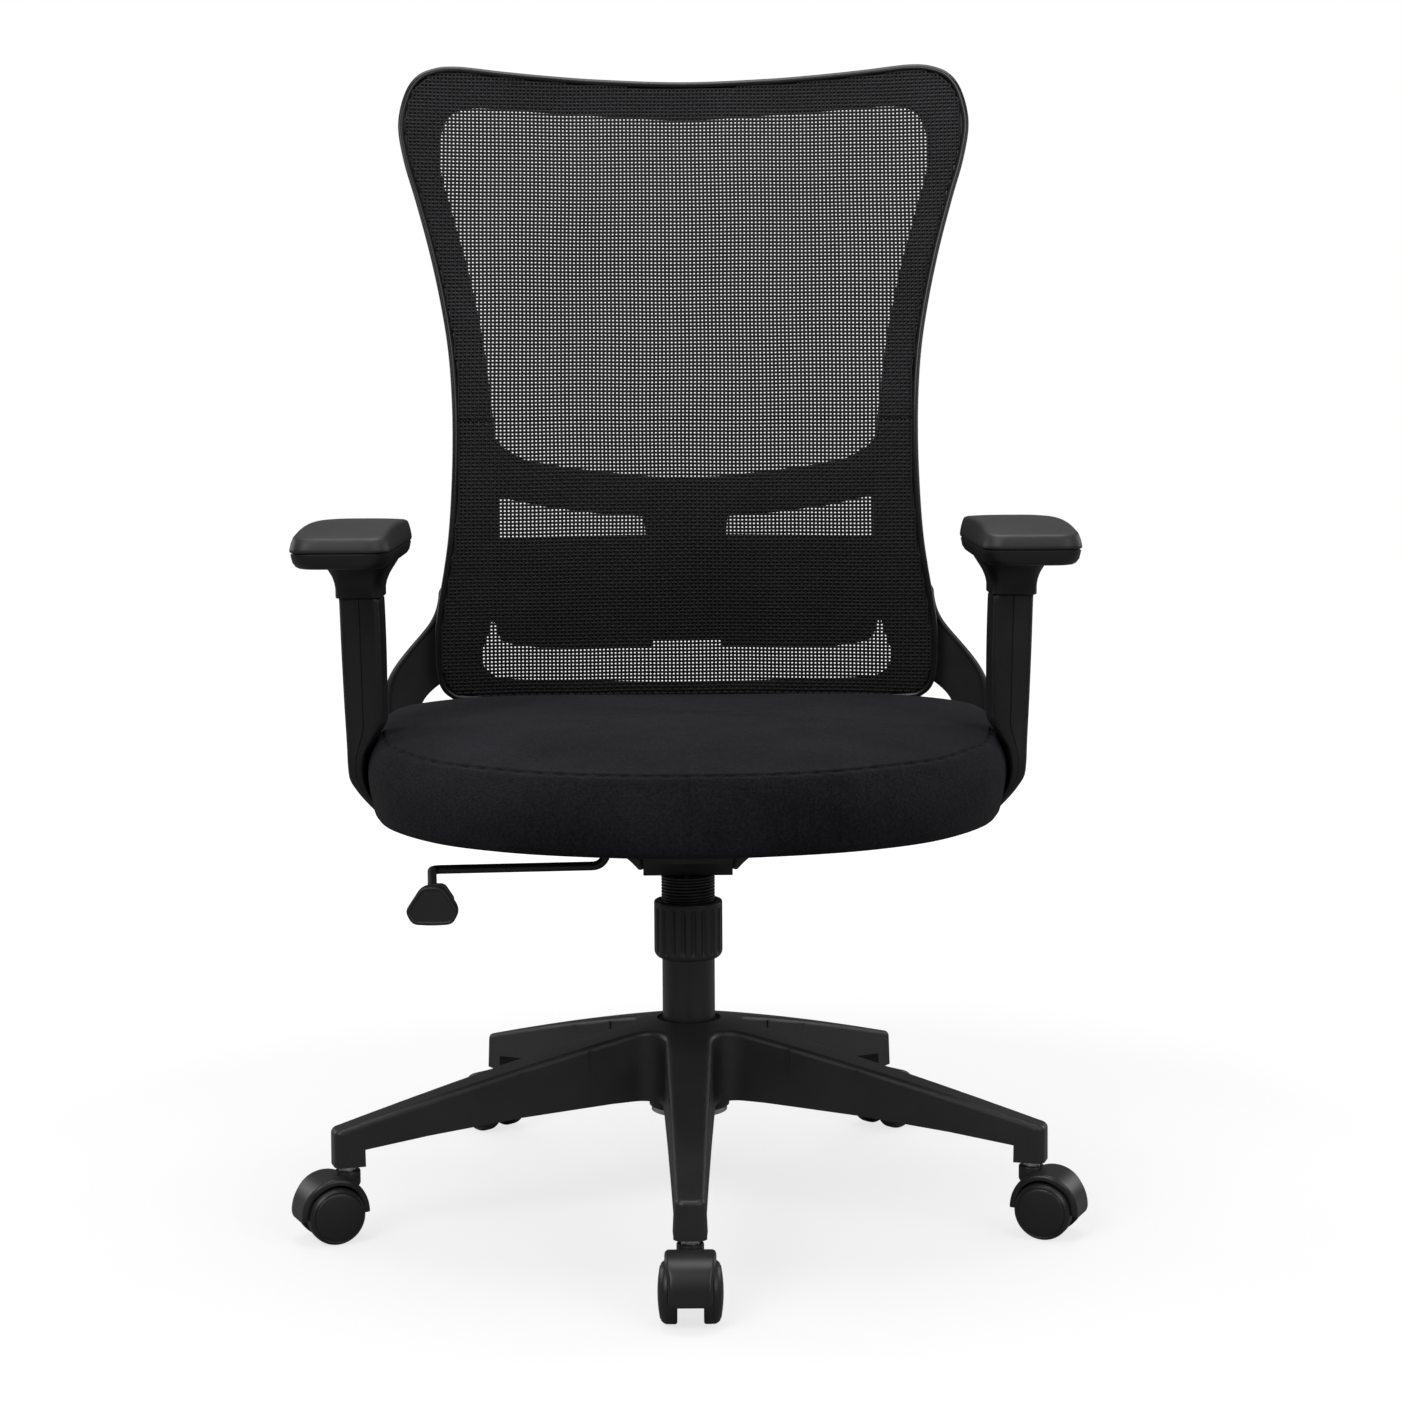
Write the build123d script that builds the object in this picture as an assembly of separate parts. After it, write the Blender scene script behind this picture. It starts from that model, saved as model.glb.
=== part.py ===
from build123d import *
import os
from math import cos, hypot, radians, sin, tan

# Swivel office chair with a mesh back, adjustable arms and a five-star base.
# Millimetres. Origin on the floor under the gas lift's axis, +Z up, the sitter faces -Y.
# "right" and "left" are the sitter's: right is -X, left is +X.
# The seat is at its lowest gas-lift position, the arms and the lumbar pad at rest.

# ---- Five-star base ----
leg_count = 5
leg_step = 360 / leg_count
base_radius = 312           # column axis to caster stem
leg_tip_width = 24.5
leg_root_width = 52
leg_reach = 13              # leg end past the caster stem
leg_draft = 2.6             # draft of the leg flanks, degrees
leg_blend = 20              # plan radius between two legs at the hub
leg_edge = 5                # rounding of a leg's upper edges
leg_tip_round = 7           # upright corners at a leg's end
leg_wall = 3.4
leg_ridge_root = 177        # height of the ridge line where it would meet the column's axis
leg_ridge_tip = 96
leg_ridge_bow = 3
leg_under_root = 106
leg_under_tip = 75
leg_under_bow = 6
leg_rib = 2.4
leg_rib_pitch = 62
leg_rib_lift = 12           # ribs stop this far above the leg's lower edge
socket_bottom = 64.5        # underside of the caster socket
socket_depth = 26
hub_radius = 40
hub_rim_radius = 28.6
hub_rim_depth = 5
hub_bottom = 92

# ---- Casters ----
wheel_radius = 25
wheel_width = 15
wheel_gap = 21              # between the two wheels
wheel_face_radius = 21.6
wheel_dish = 0.8
trail = 16                  # stem axis to wheel axle
hood_width = 41
hood_gap = 1.8
hood_wall = 3
hood_edge = 2.4             # rounding of the hood's two outer rims
hood_skirt = 16             # height of the hood's trailing edge
web_gap = 0.9               # web to wheel
axle_radius = 3
stem_radius = 5.5
stem_neck_radius = 7.5
stem_foot_radius = 4
boss_radius = 10
boss_flange_radius = 11
boss_top = 60
turning_gap = 0.05          # radial running clearance of shafts
sitting_gap = 0.3           # gap between faces that move past each other
caster_headings = [0, 65, 135, -135, -65]

# ---- Gas lift ----
lift_tube_radius = 23.5
lift_tube_wall = 2
lift_tube_bottom = 92
lift_tube_top = 285
lift_taper = 1.2            # tube radius lost over the hub's cone
lift_floor = 6
guide_length = 60
guide_flange = 3
cylinder_radius = 14
cylinder_wall = 2
cylinder_top = 346
cylinder_cap = 8
cylinder_cone = 0.8         # radius lost over the mechanism's cone
cone_length = 28
rod_radius = 5
rod_tail = 8
piston_height = 15
piston_low = 230
bearing_height = 6
bearing_radius = 15
collar_height = 4
collar_radius = 10
bump_height = 4
bump_radius = 12
clip_radius = 9
clip_height = 2
valve_radius = 4
valve_rise = 5.5
valve_travel = 5
valve_depth = 12

# ---- Mechanism under the seat ----
pan_half_width = 38
pan_front = -130
pan_bottom = 320
pan_wall = 3
pivot_y = 45
pivot_z = 339
pivot_radius = 6
pan_heel = 16               # radius of the pan's rounded rear end
flange_half_width = 47
flange_height = 4
socket_radius = 20
socket_low = 314
plate_top = 362
plate_thickness = 4
plate_half_width = 92
plate_front = -135
plate_back = 105
ear_thickness = 3
ear_radius = 13
knob_y = -100
knob_radius = 28.8
knob_height = 50
knob_bottom = 243
knob_round = 6
knob_travel = 7.5           # how far the knob climbs the bolt in five turns
knob_floor = 4
flute_count = 20
flute_radius = 3.4          # hollow between two of the knob's ribs
flute_depth = 1.5
spring_radius = 23
spring_wire = 2.7           # wire diameter
coil_groove = 0.9           # depth of the groove between two coils
washer_radius = 23.4
washer_height = 3
bolt_radius = 5

# ---- Height lever ----
lever_radius = 4
lever_axis_y = -26
lever_axis_z = 338
lever_drop = 17
lever_elbow_x = 72
lever_reach = 213
lever_bend = 9
lever_tab = 3
paddle_width = 41
paddle_height = 33
paddle_y = -172
paddle_low = 288
paddle_length = 62
bush_radius = 7
lock_slide_travel = 12

# ---- Seat ----
board_thickness = 12
board_inset = 12
cushion_low = 358
seam_height = 424
crown_height = 440
seat_front = -255
seat_back = 229
seat_half_width = 272
cushion_bulge = 6

# ---- Arms ----
arm_middle_x = 288
arm_top_outer = 305
arm_top_inner = 269
arm_low_outer = 299.5
arm_low_inner = 282
arm_depth = 54
arm_sleeve_top = 550
arm_bend_height = 396
arm_foot_low = 345
arm_foot_top = 357.4
arm_foot_inner = 96
arm_edge = 6
arm_bore_x = 290
arm_bore_width = 18
arm_bore_depth = 36
arm_bore_low = 430
arm_slide_gap = 0.1
skirt_low = 550.4
skirt_high = 576
tray_low = 587
tray_top = 597
pad_top = 615
pad_bevel = 7
pad_width = 77
pad_front = -155
pad_back = 95
button_length = 16
button_height = 10
button_depth = 9
button_proud = 3.4
button_z = 560

# ---- Back ----
back_wrap = 34              # how far the middle lies behind the side edges
back_wrap_half = 250
back_slab_half = 296
back_top = 1040
back_half_width = 276
back_waist_half = back_half_width - 54
back_foot_half = back_half_width - 33
back_foot = 431
crossbar_share = 0.348      # of the back's height, to the crossbar's top
frame_thickness = 12
mesh_thickness = 1.6
mesh_inset = 5
mesh_columns = 10           # openings of the net's grid across the back
mesh_bar = 7                # net left between two openings
back_side_line = [
    (335, 236), (430, 228), (520, 222), (600, 220),
    (700, 229), (800, 247), (900, 269), (back_top + 20, 311),
]
support_thickness = 14
support_foot_low = 345
lumbar_gap = 4
lumbar_thickness = 7
lumbar_low = back_foot + 49
lumbar_high = 590
lumbar_half_width = back_waist_half - 26
lumbar_foot_half = back_waist_half - 41
stem_half_width = 34
stem_low = lumbar_low + 20
screw_radius = 3
screw_head_radius = 6
screw_head_height = 3.5

os.makedirs("parts", exist_ok=True)


def drum(radius, low, high, x=0, y=0):
    return Pos(x, y, (low + high) / 2) * Cylinder(radius, high - low)


def pipe(outer, inner, low, high, x=0, y=0):
    return drum(outer, low, high, x, y) - drum(inner, low - 1, high + 1, x, y)


def block(x0, x1, y0, y1, z0, z1):
    return Pos((x0 + x1) / 2, (y0 + y1) / 2, (z0 + z1) / 2) * Box(x1 - x0, y1 - y0, z1 - z0)


def rod_x(radius, x0, x1, y, z):
    return Pos((x0 + x1) / 2, y, z) * Rot(0, 90, 0) * Cylinder(radius, x1 - x0)


def rod_y(radius, y0, y1, x, z):
    return Pos(x, (y0 + y1) / 2, z) * Rot(90, 0, 0) * Cylinder(radius, y1 - y0)


def cone(low_radius, high_radius, low, high):
    return Pos(0, 0, (low + high) / 2) * Cone(low_radius, high_radius, high - low)


def slab_xz(sketch, y0, y1):
    """A front-view outline carried from y0 to y1."""
    return extrude(Plane.XZ.offset(-y1) * sketch, y1 - y0)


def slab_yz(sketch, x0, x1):
    """A side-view outline (across = Y, up = Z) carried from x0 to x1."""
    return extrude(Plane.YZ.offset(x0) * sketch, x1 - x0)


def closed(*lines):
    return make_face([edge for line in lines for edge in line.edges()])


def mirrored(shape):
    return mirror(shape, about=Plane.YZ)


def rounded_outline(half):
    """A symmetric outline from its right half: corners (x, y, radius), far middle to near middle."""
    corners = half + [(-x, y, r) for x, y, r in reversed(half) if x > 0]
    line = FilletPolyline(*[(x, y) for x, y, r in corners], radius=[r for x, y, r in corners], close=True)
    return make_face(line.edges())


def save(shape, node):
    export_step(shape, "parts/" + node + ".step")


# ---------------------------------------------------------------- five-star base

leg_end = base_radius + leg_reach


def ridge(r):
    t = r / leg_end
    return leg_ridge_root + (leg_ridge_tip - leg_ridge_root) * t + 4 * leg_ridge_bow * t * (1 - t)


def underside(r):
    t = r / leg_end
    return leg_under_root + (leg_under_tip - leg_under_root) * t + 4 * leg_under_bow * t * (1 - t)


hub_top = ridge(hub_rim_radius)


def star_plan(inset):
    """Plan of the star, drawn in by inset, with round corners between the legs."""
    root = leg_root_width / 2 - inset
    tip = leg_tip_width / 2 - inset
    narrowing = (root - tip) / base_radius
    half_step = radians(leg_step / 2)
    crotch = root / (sin(half_step) + narrowing * cos(half_step))
    points = []
    for k in range(leg_count):
        turn = Rot(0, 0, leg_step * k)
        leg = [(-tip, -base_radius), (-tip, -leg_end - 5), (tip, -leg_end - 5), (tip, -base_radius),
               (crotch * sin(half_step), -crotch * cos(half_step))]
        points += [(turn * Pos(x, y, 0)).position for x, y in leg]
    plan = make_face(Polyline(*points, close=True))
    inner = [v for v in plan.vertices() if Vector(v.X, v.Y, 0).length < crotch * 1.01]
    return fillet(inner, leg_blend + inset)


def drafted_star(inset, low, high):
    """The star plan with its flanks drawn in towards the top."""
    slope = tan(radians(leg_draft))
    low_plan = star_plan(inset - (hub_bottom - low) * slope)
    high_plan = star_plan(inset + (high - hub_bottom) * slope)
    return loft([Pos(0, 0, low) * low_plan, Pos(0, 0, high) * high_plan], ruled=True)


def height_envelope():
    """A turned body between the legs' ridge line and their lower edge, down to the sockets at the ends."""
    step_r = base_radius - leg_reach
    top = Spline(*[(leg_end * i / 5, ridge(leg_end * i / 5)) for i in range(6)])
    low = [(leg_end * i / 4, underside(leg_end * i / 4)) for i in (3, 2, 1)]
    line = Polyline((leg_end, ridge(leg_end)), (leg_end, socket_bottom), (step_r, socket_bottom),
                    (step_r, underside(step_r)), *low, (0, underside(0)), (0, ridge(0)))
    return revolve(Plane.XZ * closed(top, line), Axis.Z)


def hollow_envelope(start, end):
    """A turned body for the space inside the legs, open downwards."""
    middle = (start + end) / 2
    drop = leg_wall + 0.6
    low = socket_bottom - 3
    line = Polyline((start, low), (start, ridge(start) - drop), (middle, ridge(middle) - drop),
                    (end, ridge(end) - drop), (end, low), close=True)
    return revolve(Plane.XZ * make_face(line), Axis.Z)


def base_star():
    body = drafted_star(0, socket_bottom - 1, leg_ridge_root + 1) & height_envelope()
    corners = [e for e in body.edges() if hypot((e @ 0.5).X, (e @ 0.5).Y) > leg_end - 2
               and abs((e @ 0).Z - (e @ 1).Z) > leg_tip_round]
    body = fillet(corners, leg_tip_round)
    upper = [e for e in body.edges() if ridge_edge(e)]
    body = fillet(upper, leg_edge)
    hollow_end = base_radius - leg_reach - leg_wall
    hollow_start = hub_radius - 4
    cavity = drafted_star(leg_wall, socket_bottom - 1, leg_ridge_root)
    cavity = cavity & hollow_envelope(hollow_start, hollow_end)
    body -= cavity
    for k in range(leg_count):
        body += [Rot(0, 0, leg_step * k) * rib for rib in leg_ribs(hollow_start, hollow_end)]
    body += drum(hub_radius - 4, hub_bottom, hub_top - leg_edge)
    body -= drum(hub_rim_radius, hub_top - hub_rim_depth, leg_ridge_root + 1)
    body -= lift_cone(lift_tube_bottom - 1, hub_top + 1)
    for k in range(leg_count):
        socket_top = socket_bottom + socket_depth
        socket = drum(stem_radius + turning_gap, socket_bottom - 1, socket_top, 0, -base_radius)
        body -= Rot(0, 0, leg_step * k) * socket
    return body


def ridge_edge(edge):
    """True for the long edges where a leg's flank meets its ridge, and the end's top edge."""
    p = edge @ 0.5
    r = Vector(p.X, p.Y, 0).length
    return r > hub_radius and abs(p.Z - ridge(r)) < 0.5


def leg_ribs(start, end):
    """Cross ribs and one long rib under the first leg, let into its walls, clear of its lower edge."""
    bite = leg_wall / 2
    ribs = []
    for i in range(1, int((end - start) / leg_rib_pitch) + 1):
        r = start + leg_rib_pitch * i
        half = leg_root_width / 2 + (leg_tip_width - leg_root_width) / 2 * r / base_radius - bite
        ribs.append(block(-half, half, -r - leg_rib / 2, -r + leg_rib / 2, underside(r) + leg_rib_lift,
                          ridge(r) - leg_wall))
    far = end + bite
    middle = (start + far) / 2
    spine = Polygon((-start, underside(start) + leg_rib_lift), (-start, ridge(start) - bite),
                    (-middle, ridge(middle) - bite), (-far, ridge(far) - bite),
                    (-far, underside(far) + leg_rib_lift), align=None)
    ribs.append(slab_yz(spine, -leg_rib / 2, leg_rib / 2))
    return ribs


def lift_cone(low, high):
    """The gas lift's outside: straight above the hub, slightly tapered inside it."""
    taper = cone(lift_tube_radius - lift_taper, lift_tube_radius, lift_tube_bottom, hub_top)
    body = taper
    if high > hub_top:
        body += drum(lift_tube_radius, hub_top, high)
    if low < lift_tube_bottom:
        body += drum(lift_tube_radius - lift_taper, low, lift_tube_bottom)
    return body


def hub_ring():
    ring = pipe(hub_radius - 6, lift_tube_radius, hub_bottom - 5, hub_bottom)
    return ring


# ---------------------------------------------------------------- casters

axle_z = wheel_radius
wheel_inner = wheel_gap / 2
wheel_outer = wheel_inner + wheel_width
hood_radius = wheel_radius + hood_gap + hood_wall
web_half = wheel_inner - web_gap


def caster_hood():
    """The moulded hood: an arched cover over both wheels, a web between them and the stem boss."""
    half = hood_width / 2
    arch = rod_x(hood_radius, -half, half, -trail, axle_z)
    arch = fillet(arch.edges().filter_by(GeomType.CIRCLE), hood_edge)
    arch -= rod_x(hood_radius - hood_wall, -half - 1, half + 1, -trail, axle_z)
    web = rod_x(hood_radius - hood_wall / 2, -web_half, web_half, -trail, axle_z)
    body = arch + web
    body -= block(-half - 1, half + 1, -trail, hood_radius, -hood_radius, axle_z)
    body -= block(-half - 1, half + 1, -trail - hood_radius - 1, -trail + 1, -hood_radius, hood_skirt)
    hanger = rod_x(axle_radius + 5, -web_half, web_half, -trail, axle_z)
    boss = drum(boss_radius - 1, axle_z, wheel_radius * 2 + hood_gap)
    boss &= block(-web_half, web_half, -boss_radius, boss_radius, axle_z, wheel_radius * 3)
    flange = drum(boss_flange_radius, wheel_radius * 2 + hood_gap, boss_top)
    body += hanger + boss + flange
    body -= drum(stem_foot_radius, axle_z + axle_radius + 3, boss_top + 1)
    body -= rod_x(axle_radius, -half, half, -trail, axle_z)
    return body


def caster_stem():
    stem = drum(stem_foot_radius, axle_z + axle_radius + 3, boss_top)
    stem += drum(stem_neck_radius, boss_top, socket_bottom - sitting_gap)
    shank = drum(stem_radius, socket_bottom - sitting_gap, socket_bottom + socket_depth - 2)
    return stem + chamfer(shank.edges().group_by(Axis.Z)[-1], 1)


def caster_axle():
    reach = wheel_outer - 3.5
    return rod_x(axle_radius, -reach, reach, -trail, axle_z)


def caster_wheel():
    """One wheel turned about its axle, on the +X side: tread, rounded shoulder and raised disc."""
    r = wheel_radius
    shoulder = wheel_outer - 5
    face = wheel_outer - wheel_dish
    edge = Polyline((wheel_inner, axle_radius + turning_gap), (wheel_inner, r - 1),
                    (wheel_inner + 1, r), (shoulder, r))
    bow = ThreePointArc((shoulder, r), (shoulder + 3.2, r - 0.9), (face, wheel_face_radius))
    cap = Polyline((face, wheel_face_radius), (wheel_outer, wheel_face_radius - wheel_dish), (wheel_outer, 0),
                   (wheel_outer - 3, 0), (wheel_outer - 3, axle_radius + turning_gap),
                   (wheel_inner, axle_radius + turning_gap))
    return Pos(0, -trail, axle_z) * revolve(closed(edge, bow, cap), Axis.X)


def at_station(shape, k):
    """Carry a caster piece from its own frame (trailing towards -Y) to the end of leg k."""
    angle = radians(leg_step * k)
    spot = Pos(base_radius * sin(angle), -base_radius * cos(angle), 0)
    return spot * Rot(0, 0, caster_headings[k]) * shape


def save_casters():
    hood = caster_hood()
    stem = caster_stem()
    axle = caster_axle()
    wheel = caster_wheel()
    other_wheel = mirrored(wheel)
    for k in range(leg_count):
        name = str(k + 1)
        save(at_station(hood, k), "caster_hood_" + name)
        save(Compound([at_station(stem, k), at_station(axle, k)]), "caster_stem_and_axle_" + name)
        save(at_station(wheel, k), "caster_wheel_" + name + "a")
        save(at_station(other_wheel, k), "caster_wheel_" + name + "b")


# ---------------------------------------------------------------- gas lift

tube_bore = lift_tube_radius - lift_tube_wall
bearing_low = lift_tube_bottom + lift_floor
collar_low = bearing_low + bearing_height
bump_low = collar_low + collar_height
cylinder_low = bump_low + bump_height + sitting_gap
cylinder_bore = cylinder_radius - cylinder_wall
clip_top = lift_tube_bottom - sitting_gap


def gas_outer_tube():
    body = lift_cone(lift_tube_bottom, lift_tube_top)
    body -= drum(tube_bore - lift_taper, lift_tube_bottom + lift_floor, lift_tube_top + 1)
    body -= drum(tube_bore, hub_top, lift_tube_top + 1)
    return body - drum(rod_radius + turning_gap, lift_tube_bottom - 1, lift_tube_bottom + lift_floor + 1)


def gas_guide_bush():
    body = drum(tube_bore, lift_tube_top - guide_length, lift_tube_top)
    body += drum(lift_tube_radius, lift_tube_top, lift_tube_top + guide_flange)
    body = chamfer(body.edges().group_by(Axis.Z)[-1], 1)
    return body - drum(cylinder_radius + turning_gap, lift_tube_top - guide_length - 1, lift_tube_top + 10)


def gas_lower_bearing():
    return pipe(bearing_radius, rod_radius + turning_gap, bearing_low, collar_low - sitting_gap)


def gas_piston_rod():
    body = drum(rod_radius, lift_tube_bottom - rod_tail, piston_low + piston_height)
    body += drum(collar_radius, collar_low, bump_low)
    body += drum(cylinder_bore - turning_gap, piston_low, piston_low + piston_height)
    return body - pipe(rod_radius + 1, rod_radius - 1, clip_top - clip_height, clip_top)


def gas_clip():
    ring = pipe(clip_radius, rod_radius - 1, clip_top - clip_height, clip_top)
    return ring - block(-rod_radius + 1.5, rod_radius - 1.5, 0, clip_radius + 1, 0, clip_top + 1)


def gas_bump_ring():
    return pipe(bump_radius, rod_radius, bump_low, bump_low + bump_height)


def gas_cylinder():
    cone_low = cylinder_top - cone_length
    body = drum(cylinder_radius, cylinder_low, cone_low)
    body += cone(cylinder_radius, cylinder_radius - cylinder_cone, cone_low, cylinder_top)
    bore_top = cylinder_top - valve_depth - 12
    body -= drum(cylinder_bore, cylinder_low + cylinder_cap, bore_top)
    body -= drum(rod_radius + turning_gap, cylinder_low - 1, cylinder_low + cylinder_cap + 1)
    return body - drum(valve_radius + turning_gap, cylinder_top - valve_depth, cylinder_top + 1)


def gas_valve_button():
    body = drum(valve_radius, cylinder_top - valve_depth + valve_travel + 1, cylinder_top + valve_rise)
    return chamfer(body.edges().group_by(Axis.Z)[-1], 0.6)


# ---------------------------------------------------------------- mechanism

plate_low = plate_top - plate_thickness
pan_top = pivot_z + pan_heel
flange_low = pan_top - flange_height
knob_top = knob_bottom + knob_height
lever_tab_low = cylinder_top + valve_rise
lever_end_x = 18


def pan_profile(inset):
    """Side view of the pan: sloping front, round heel about the pivot."""
    heel = pan_heel - inset
    front = pan_front + inset
    low = pan_bottom + inset
    top = pivot_z + heel
    line = Polyline((pivot_y, top), (front, top), (front, low + 12), (front + 12, low), (pivot_y - 22, low),
                    (pivot_y, pivot_z - heel))
    arc = ThreePointArc((pivot_y, pivot_z - heel), (pivot_y + heel, pivot_z), (pivot_y, top))
    return closed(line, arc)


def mech_housing():
    """Pressed pan with flanged sides, open at the top, crossed by the tilt axle at its heel."""
    body = slab_yz(pan_profile(0), -pan_half_width, pan_half_width)
    inside = pan_half_width - pan_wall
    hollow = slab_yz(pan_profile(pan_wall), -inside, inside)
    mouth_low = pan_top - pan_wall - 1
    hollow += block(-inside, inside, pan_front + pan_wall, pivot_y - pan_heel, mouth_low, pan_top + 1)
    body -= hollow
    for side in (-1, 1):
        inner, outer = sorted((side * (pan_half_width - 1), side * flange_half_width))
        body += block(inner, outer, pan_front + 20, pivot_y - pan_heel - 14, flange_low, pan_top)
    for side in (-1, 1):
        inner, outer = sorted((side * (pan_half_width - 1), side * (flange_half_width + 8)))
        lug = block(inner, outer, pan_front + 32, pan_front + 52, flange_low - 8, pan_top)
        lug = fillet(lug.edges().filter_by(Axis.Y), 3)
        body += lug
    body += pipe(bolt_radius + 6, bolt_radius, pan_bottom, pan_bottom + 12, 0, knob_y)
    body -= drum(socket_radius, pan_bottom - 1, pan_bottom + pan_wall + 1)
    body -= drum(bolt_radius, pan_bottom - 1, pan_bottom + 40, 0, knob_y)
    body -= rod_x(pivot_radius, -pan_half_width - 1, pan_half_width + 1, pivot_y, pivot_z)
    body -= rod_x(bush_radius, -pan_half_width - 1, 0, lever_axis_y, lever_axis_z)
    return body


def cone_socket():
    """Steel cone that grips the top of the gas cylinder, welded into the pan."""
    cone_low = cylinder_top - cone_length
    body = drum(socket_radius, socket_low, cylinder_top - 6)
    body -= drum(cylinder_radius, socket_low - 1, cone_low)
    body -= cone(cylinder_radius, cylinder_radius - cylinder_cone, cone_low, cylinder_top)
    return body


def tension_bolt():
    body = drum(bolt_radius, knob_bottom + knob_floor + knob_travel + 1, pan_bottom + 16, 0, knob_y)
    head = Pos(0, knob_y, pan_bottom + 12) * extrude(RegularPolygon(bolt_radius * 1.8, 6), 7)
    return body + head


def tension_spring():
    """Closely wound compression spring: its coils drawn as touching rings round a plain bore."""
    coils = round((pan_bottom - knob_top) / spring_wire)
    pitch = (pan_bottom - knob_top) / coils
    root = spring_radius - coil_groove
    bore = spring_radius - spring_wire
    outside = []
    for i in range(coils):
        low = knob_top + pitch * i
        outside.append(ThreePointArc((root, low), (spring_radius, low + pitch / 2), (root, low + pitch)))
    inside = Polyline((root, pan_bottom), (bore, pan_bottom), (bore, knob_top), (root, knob_top))
    return Pos(0, knob_y, 0) * revolve(Plane.XZ * closed(*outside, inside), Axis.Z)


def tension_washer():
    return pipe(washer_radius, bolt_radius + sitting_gap, knob_top - washer_height, knob_top, 0, knob_y)


def tension_knob():
    """Fluted hand knob that screws up the bolt and winds up the tilt spring."""
    body = drum(knob_radius, knob_bottom, knob_top, 0, knob_y)
    body = fillet(body.edges().group_by(Axis.Z)[0], knob_round)
    body = chamfer(body.edges().group_by(Axis.Z)[-1], 1.2)
    flute_x = knob_radius + flute_radius - flute_depth
    flute = drum(flute_radius, knob_bottom + knob_round - 2, knob_top - 4, flute_x)
    flute = fillet(flute.edges().group_by(Axis.Z)[0], flute_radius - 0.6)
    for i in range(flute_count):
        body -= Pos(0, knob_y, 0) * Rot(0, 0, 360 / flute_count * i) * flute
    body -= drum(washer_radius + sitting_gap, knob_top - washer_height - sitting_gap, knob_top + 1, 0, knob_y)
    return body - drum(bolt_radius + turning_gap, knob_bottom + knob_floor, knob_top, 0, knob_y)


def lever_bush():
    body = rod_x(bush_radius, -pan_half_width - 2, -pan_half_width + pan_wall + 3, lever_axis_y, lever_axis_z)
    body += rod_x(bush_radius + 2, -pan_half_width - 2, -pan_half_width, lever_axis_y, lever_axis_z)
    return body - rod_x(lever_radius + turning_gap, -pan_half_width - 5, 0, lever_axis_y, lever_axis_z)


def lock_slide():
    """Carrier that the lever pulls sideways to lock or free the tilt."""
    x0 = -pan_half_width + pan_wall + lock_slide_travel + 5
    body = rod_x(lever_radius + 4, x0, x0 + 8, lever_axis_y, lever_axis_z)
    foot = pan_bottom + pan_wall + sitting_gap
    body += block(x0, x0 + 8, lever_axis_y - 5, lever_axis_y + 5, foot, lever_axis_z)
    return body - rod_x(lever_radius + turning_gap, x0 - 1, x0 + 9, lever_axis_y, lever_axis_z)


def lever_rod():
    """Bent rod: along its bearing axis, down, out under the seat and forward to the paddle."""
    low_z = lever_axis_z - lever_drop
    path = FilletPolyline(
        (lever_end_x, lever_axis_y, lever_axis_z),
        (-lever_elbow_x + 6, lever_axis_y, lever_axis_z),
        (-lever_elbow_x - 6, lever_axis_y, low_z),
        (-lever_reach, lever_axis_y, low_z - 2),
        (-lever_reach, paddle_y + paddle_length - 12, low_z - 12),
        radius=[5, 5, lever_bend])
    body = sweep(Plane(path @ 0, z_dir=path % 0) * Circle(lever_radius), path, transition=Transition.RIGHT)
    tab_top = lever_tab_low + lever_tab
    back = lever_axis_y - lever_radius
    tab = block(-8, lever_end_x, back, valve_radius + 2, lever_tab_low + sitting_gap, tab_top)
    riser = block(-8, lever_end_x, back, lever_axis_y, lever_axis_z, tab_top)
    return body + tab + riser


def lever_paddle():
    """Finger paddle: a rounded triangle in front view, thinning towards the back."""
    front = Plane.XZ.offset(-paddle_y) * paddle_face(1)
    back = Plane.XZ.offset(-paddle_y - paddle_length) * paddle_face(0.62)
    body = Pos(-lever_reach, 0, paddle_low + paddle_height * 0.4) * loft([front, back])
    return body - lever_rod()


def paddle_face(share):
    """The paddle's rounded triangle about its own middle, at a share of its full size."""
    half = paddle_width / 2 * share
    low = -paddle_height * 0.4 * share
    top = paddle_height * 0.6 * share
    face = Polygon((-half, 0), (-half * 0.62, low), (half * 0.62, low), (half, 0), (half * 0.34, top),
                   (-half * 0.34, top), align=None)
    return fillet(face.vertices(), 5 * share)


def seat_plate():
    """Pressed plate bolted under the board, with ears that turn on the tilt axle."""
    body = block(-plate_half_width, plate_half_width, plate_front, plate_back, plate_low, plate_top)
    body = fillet(body.edges().filter_by(Axis.Z), 18)
    for side in (-1, 1):
        inner, outer = sorted((side * (pan_half_width + 0.6), side * (pan_half_width + 0.6 + ear_thickness)))
        ear = rod_x(ear_radius, inner, outer, pivot_y, pivot_z)
        ear += block(inner, outer, pivot_y - ear_radius, pivot_y + ear_radius, pivot_z, plate_low + 1)
        ear -= rod_x(pivot_radius, inner - 1, outer + 1, pivot_y, pivot_z)
        body += ear
    for x, y in seat_bolt_spots():
        body -= drum(screw_radius, plate_low - 1, plate_top + 1, x, y)
    return body


def pivot_axle():
    reach = pan_half_width + ear_thickness + 3
    body = rod_x(pivot_radius - turning_gap, -reach, reach, pivot_y, pivot_z)
    for side in (-1, 1):
        inner, outer = sorted((side * reach, side * (reach + 3)))
        body += rod_x(pivot_radius + 3, inner, outer, pivot_y, pivot_z)
    return body


def seat_bolt_spots():
    return [(sx * 76, y) for sx in (-1, 1) for y in (plate_front + 20, plate_back - 20)]


# ---------------------------------------------------------------- seat

board_low = plate_top
board_top = board_low + board_thickness


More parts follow.
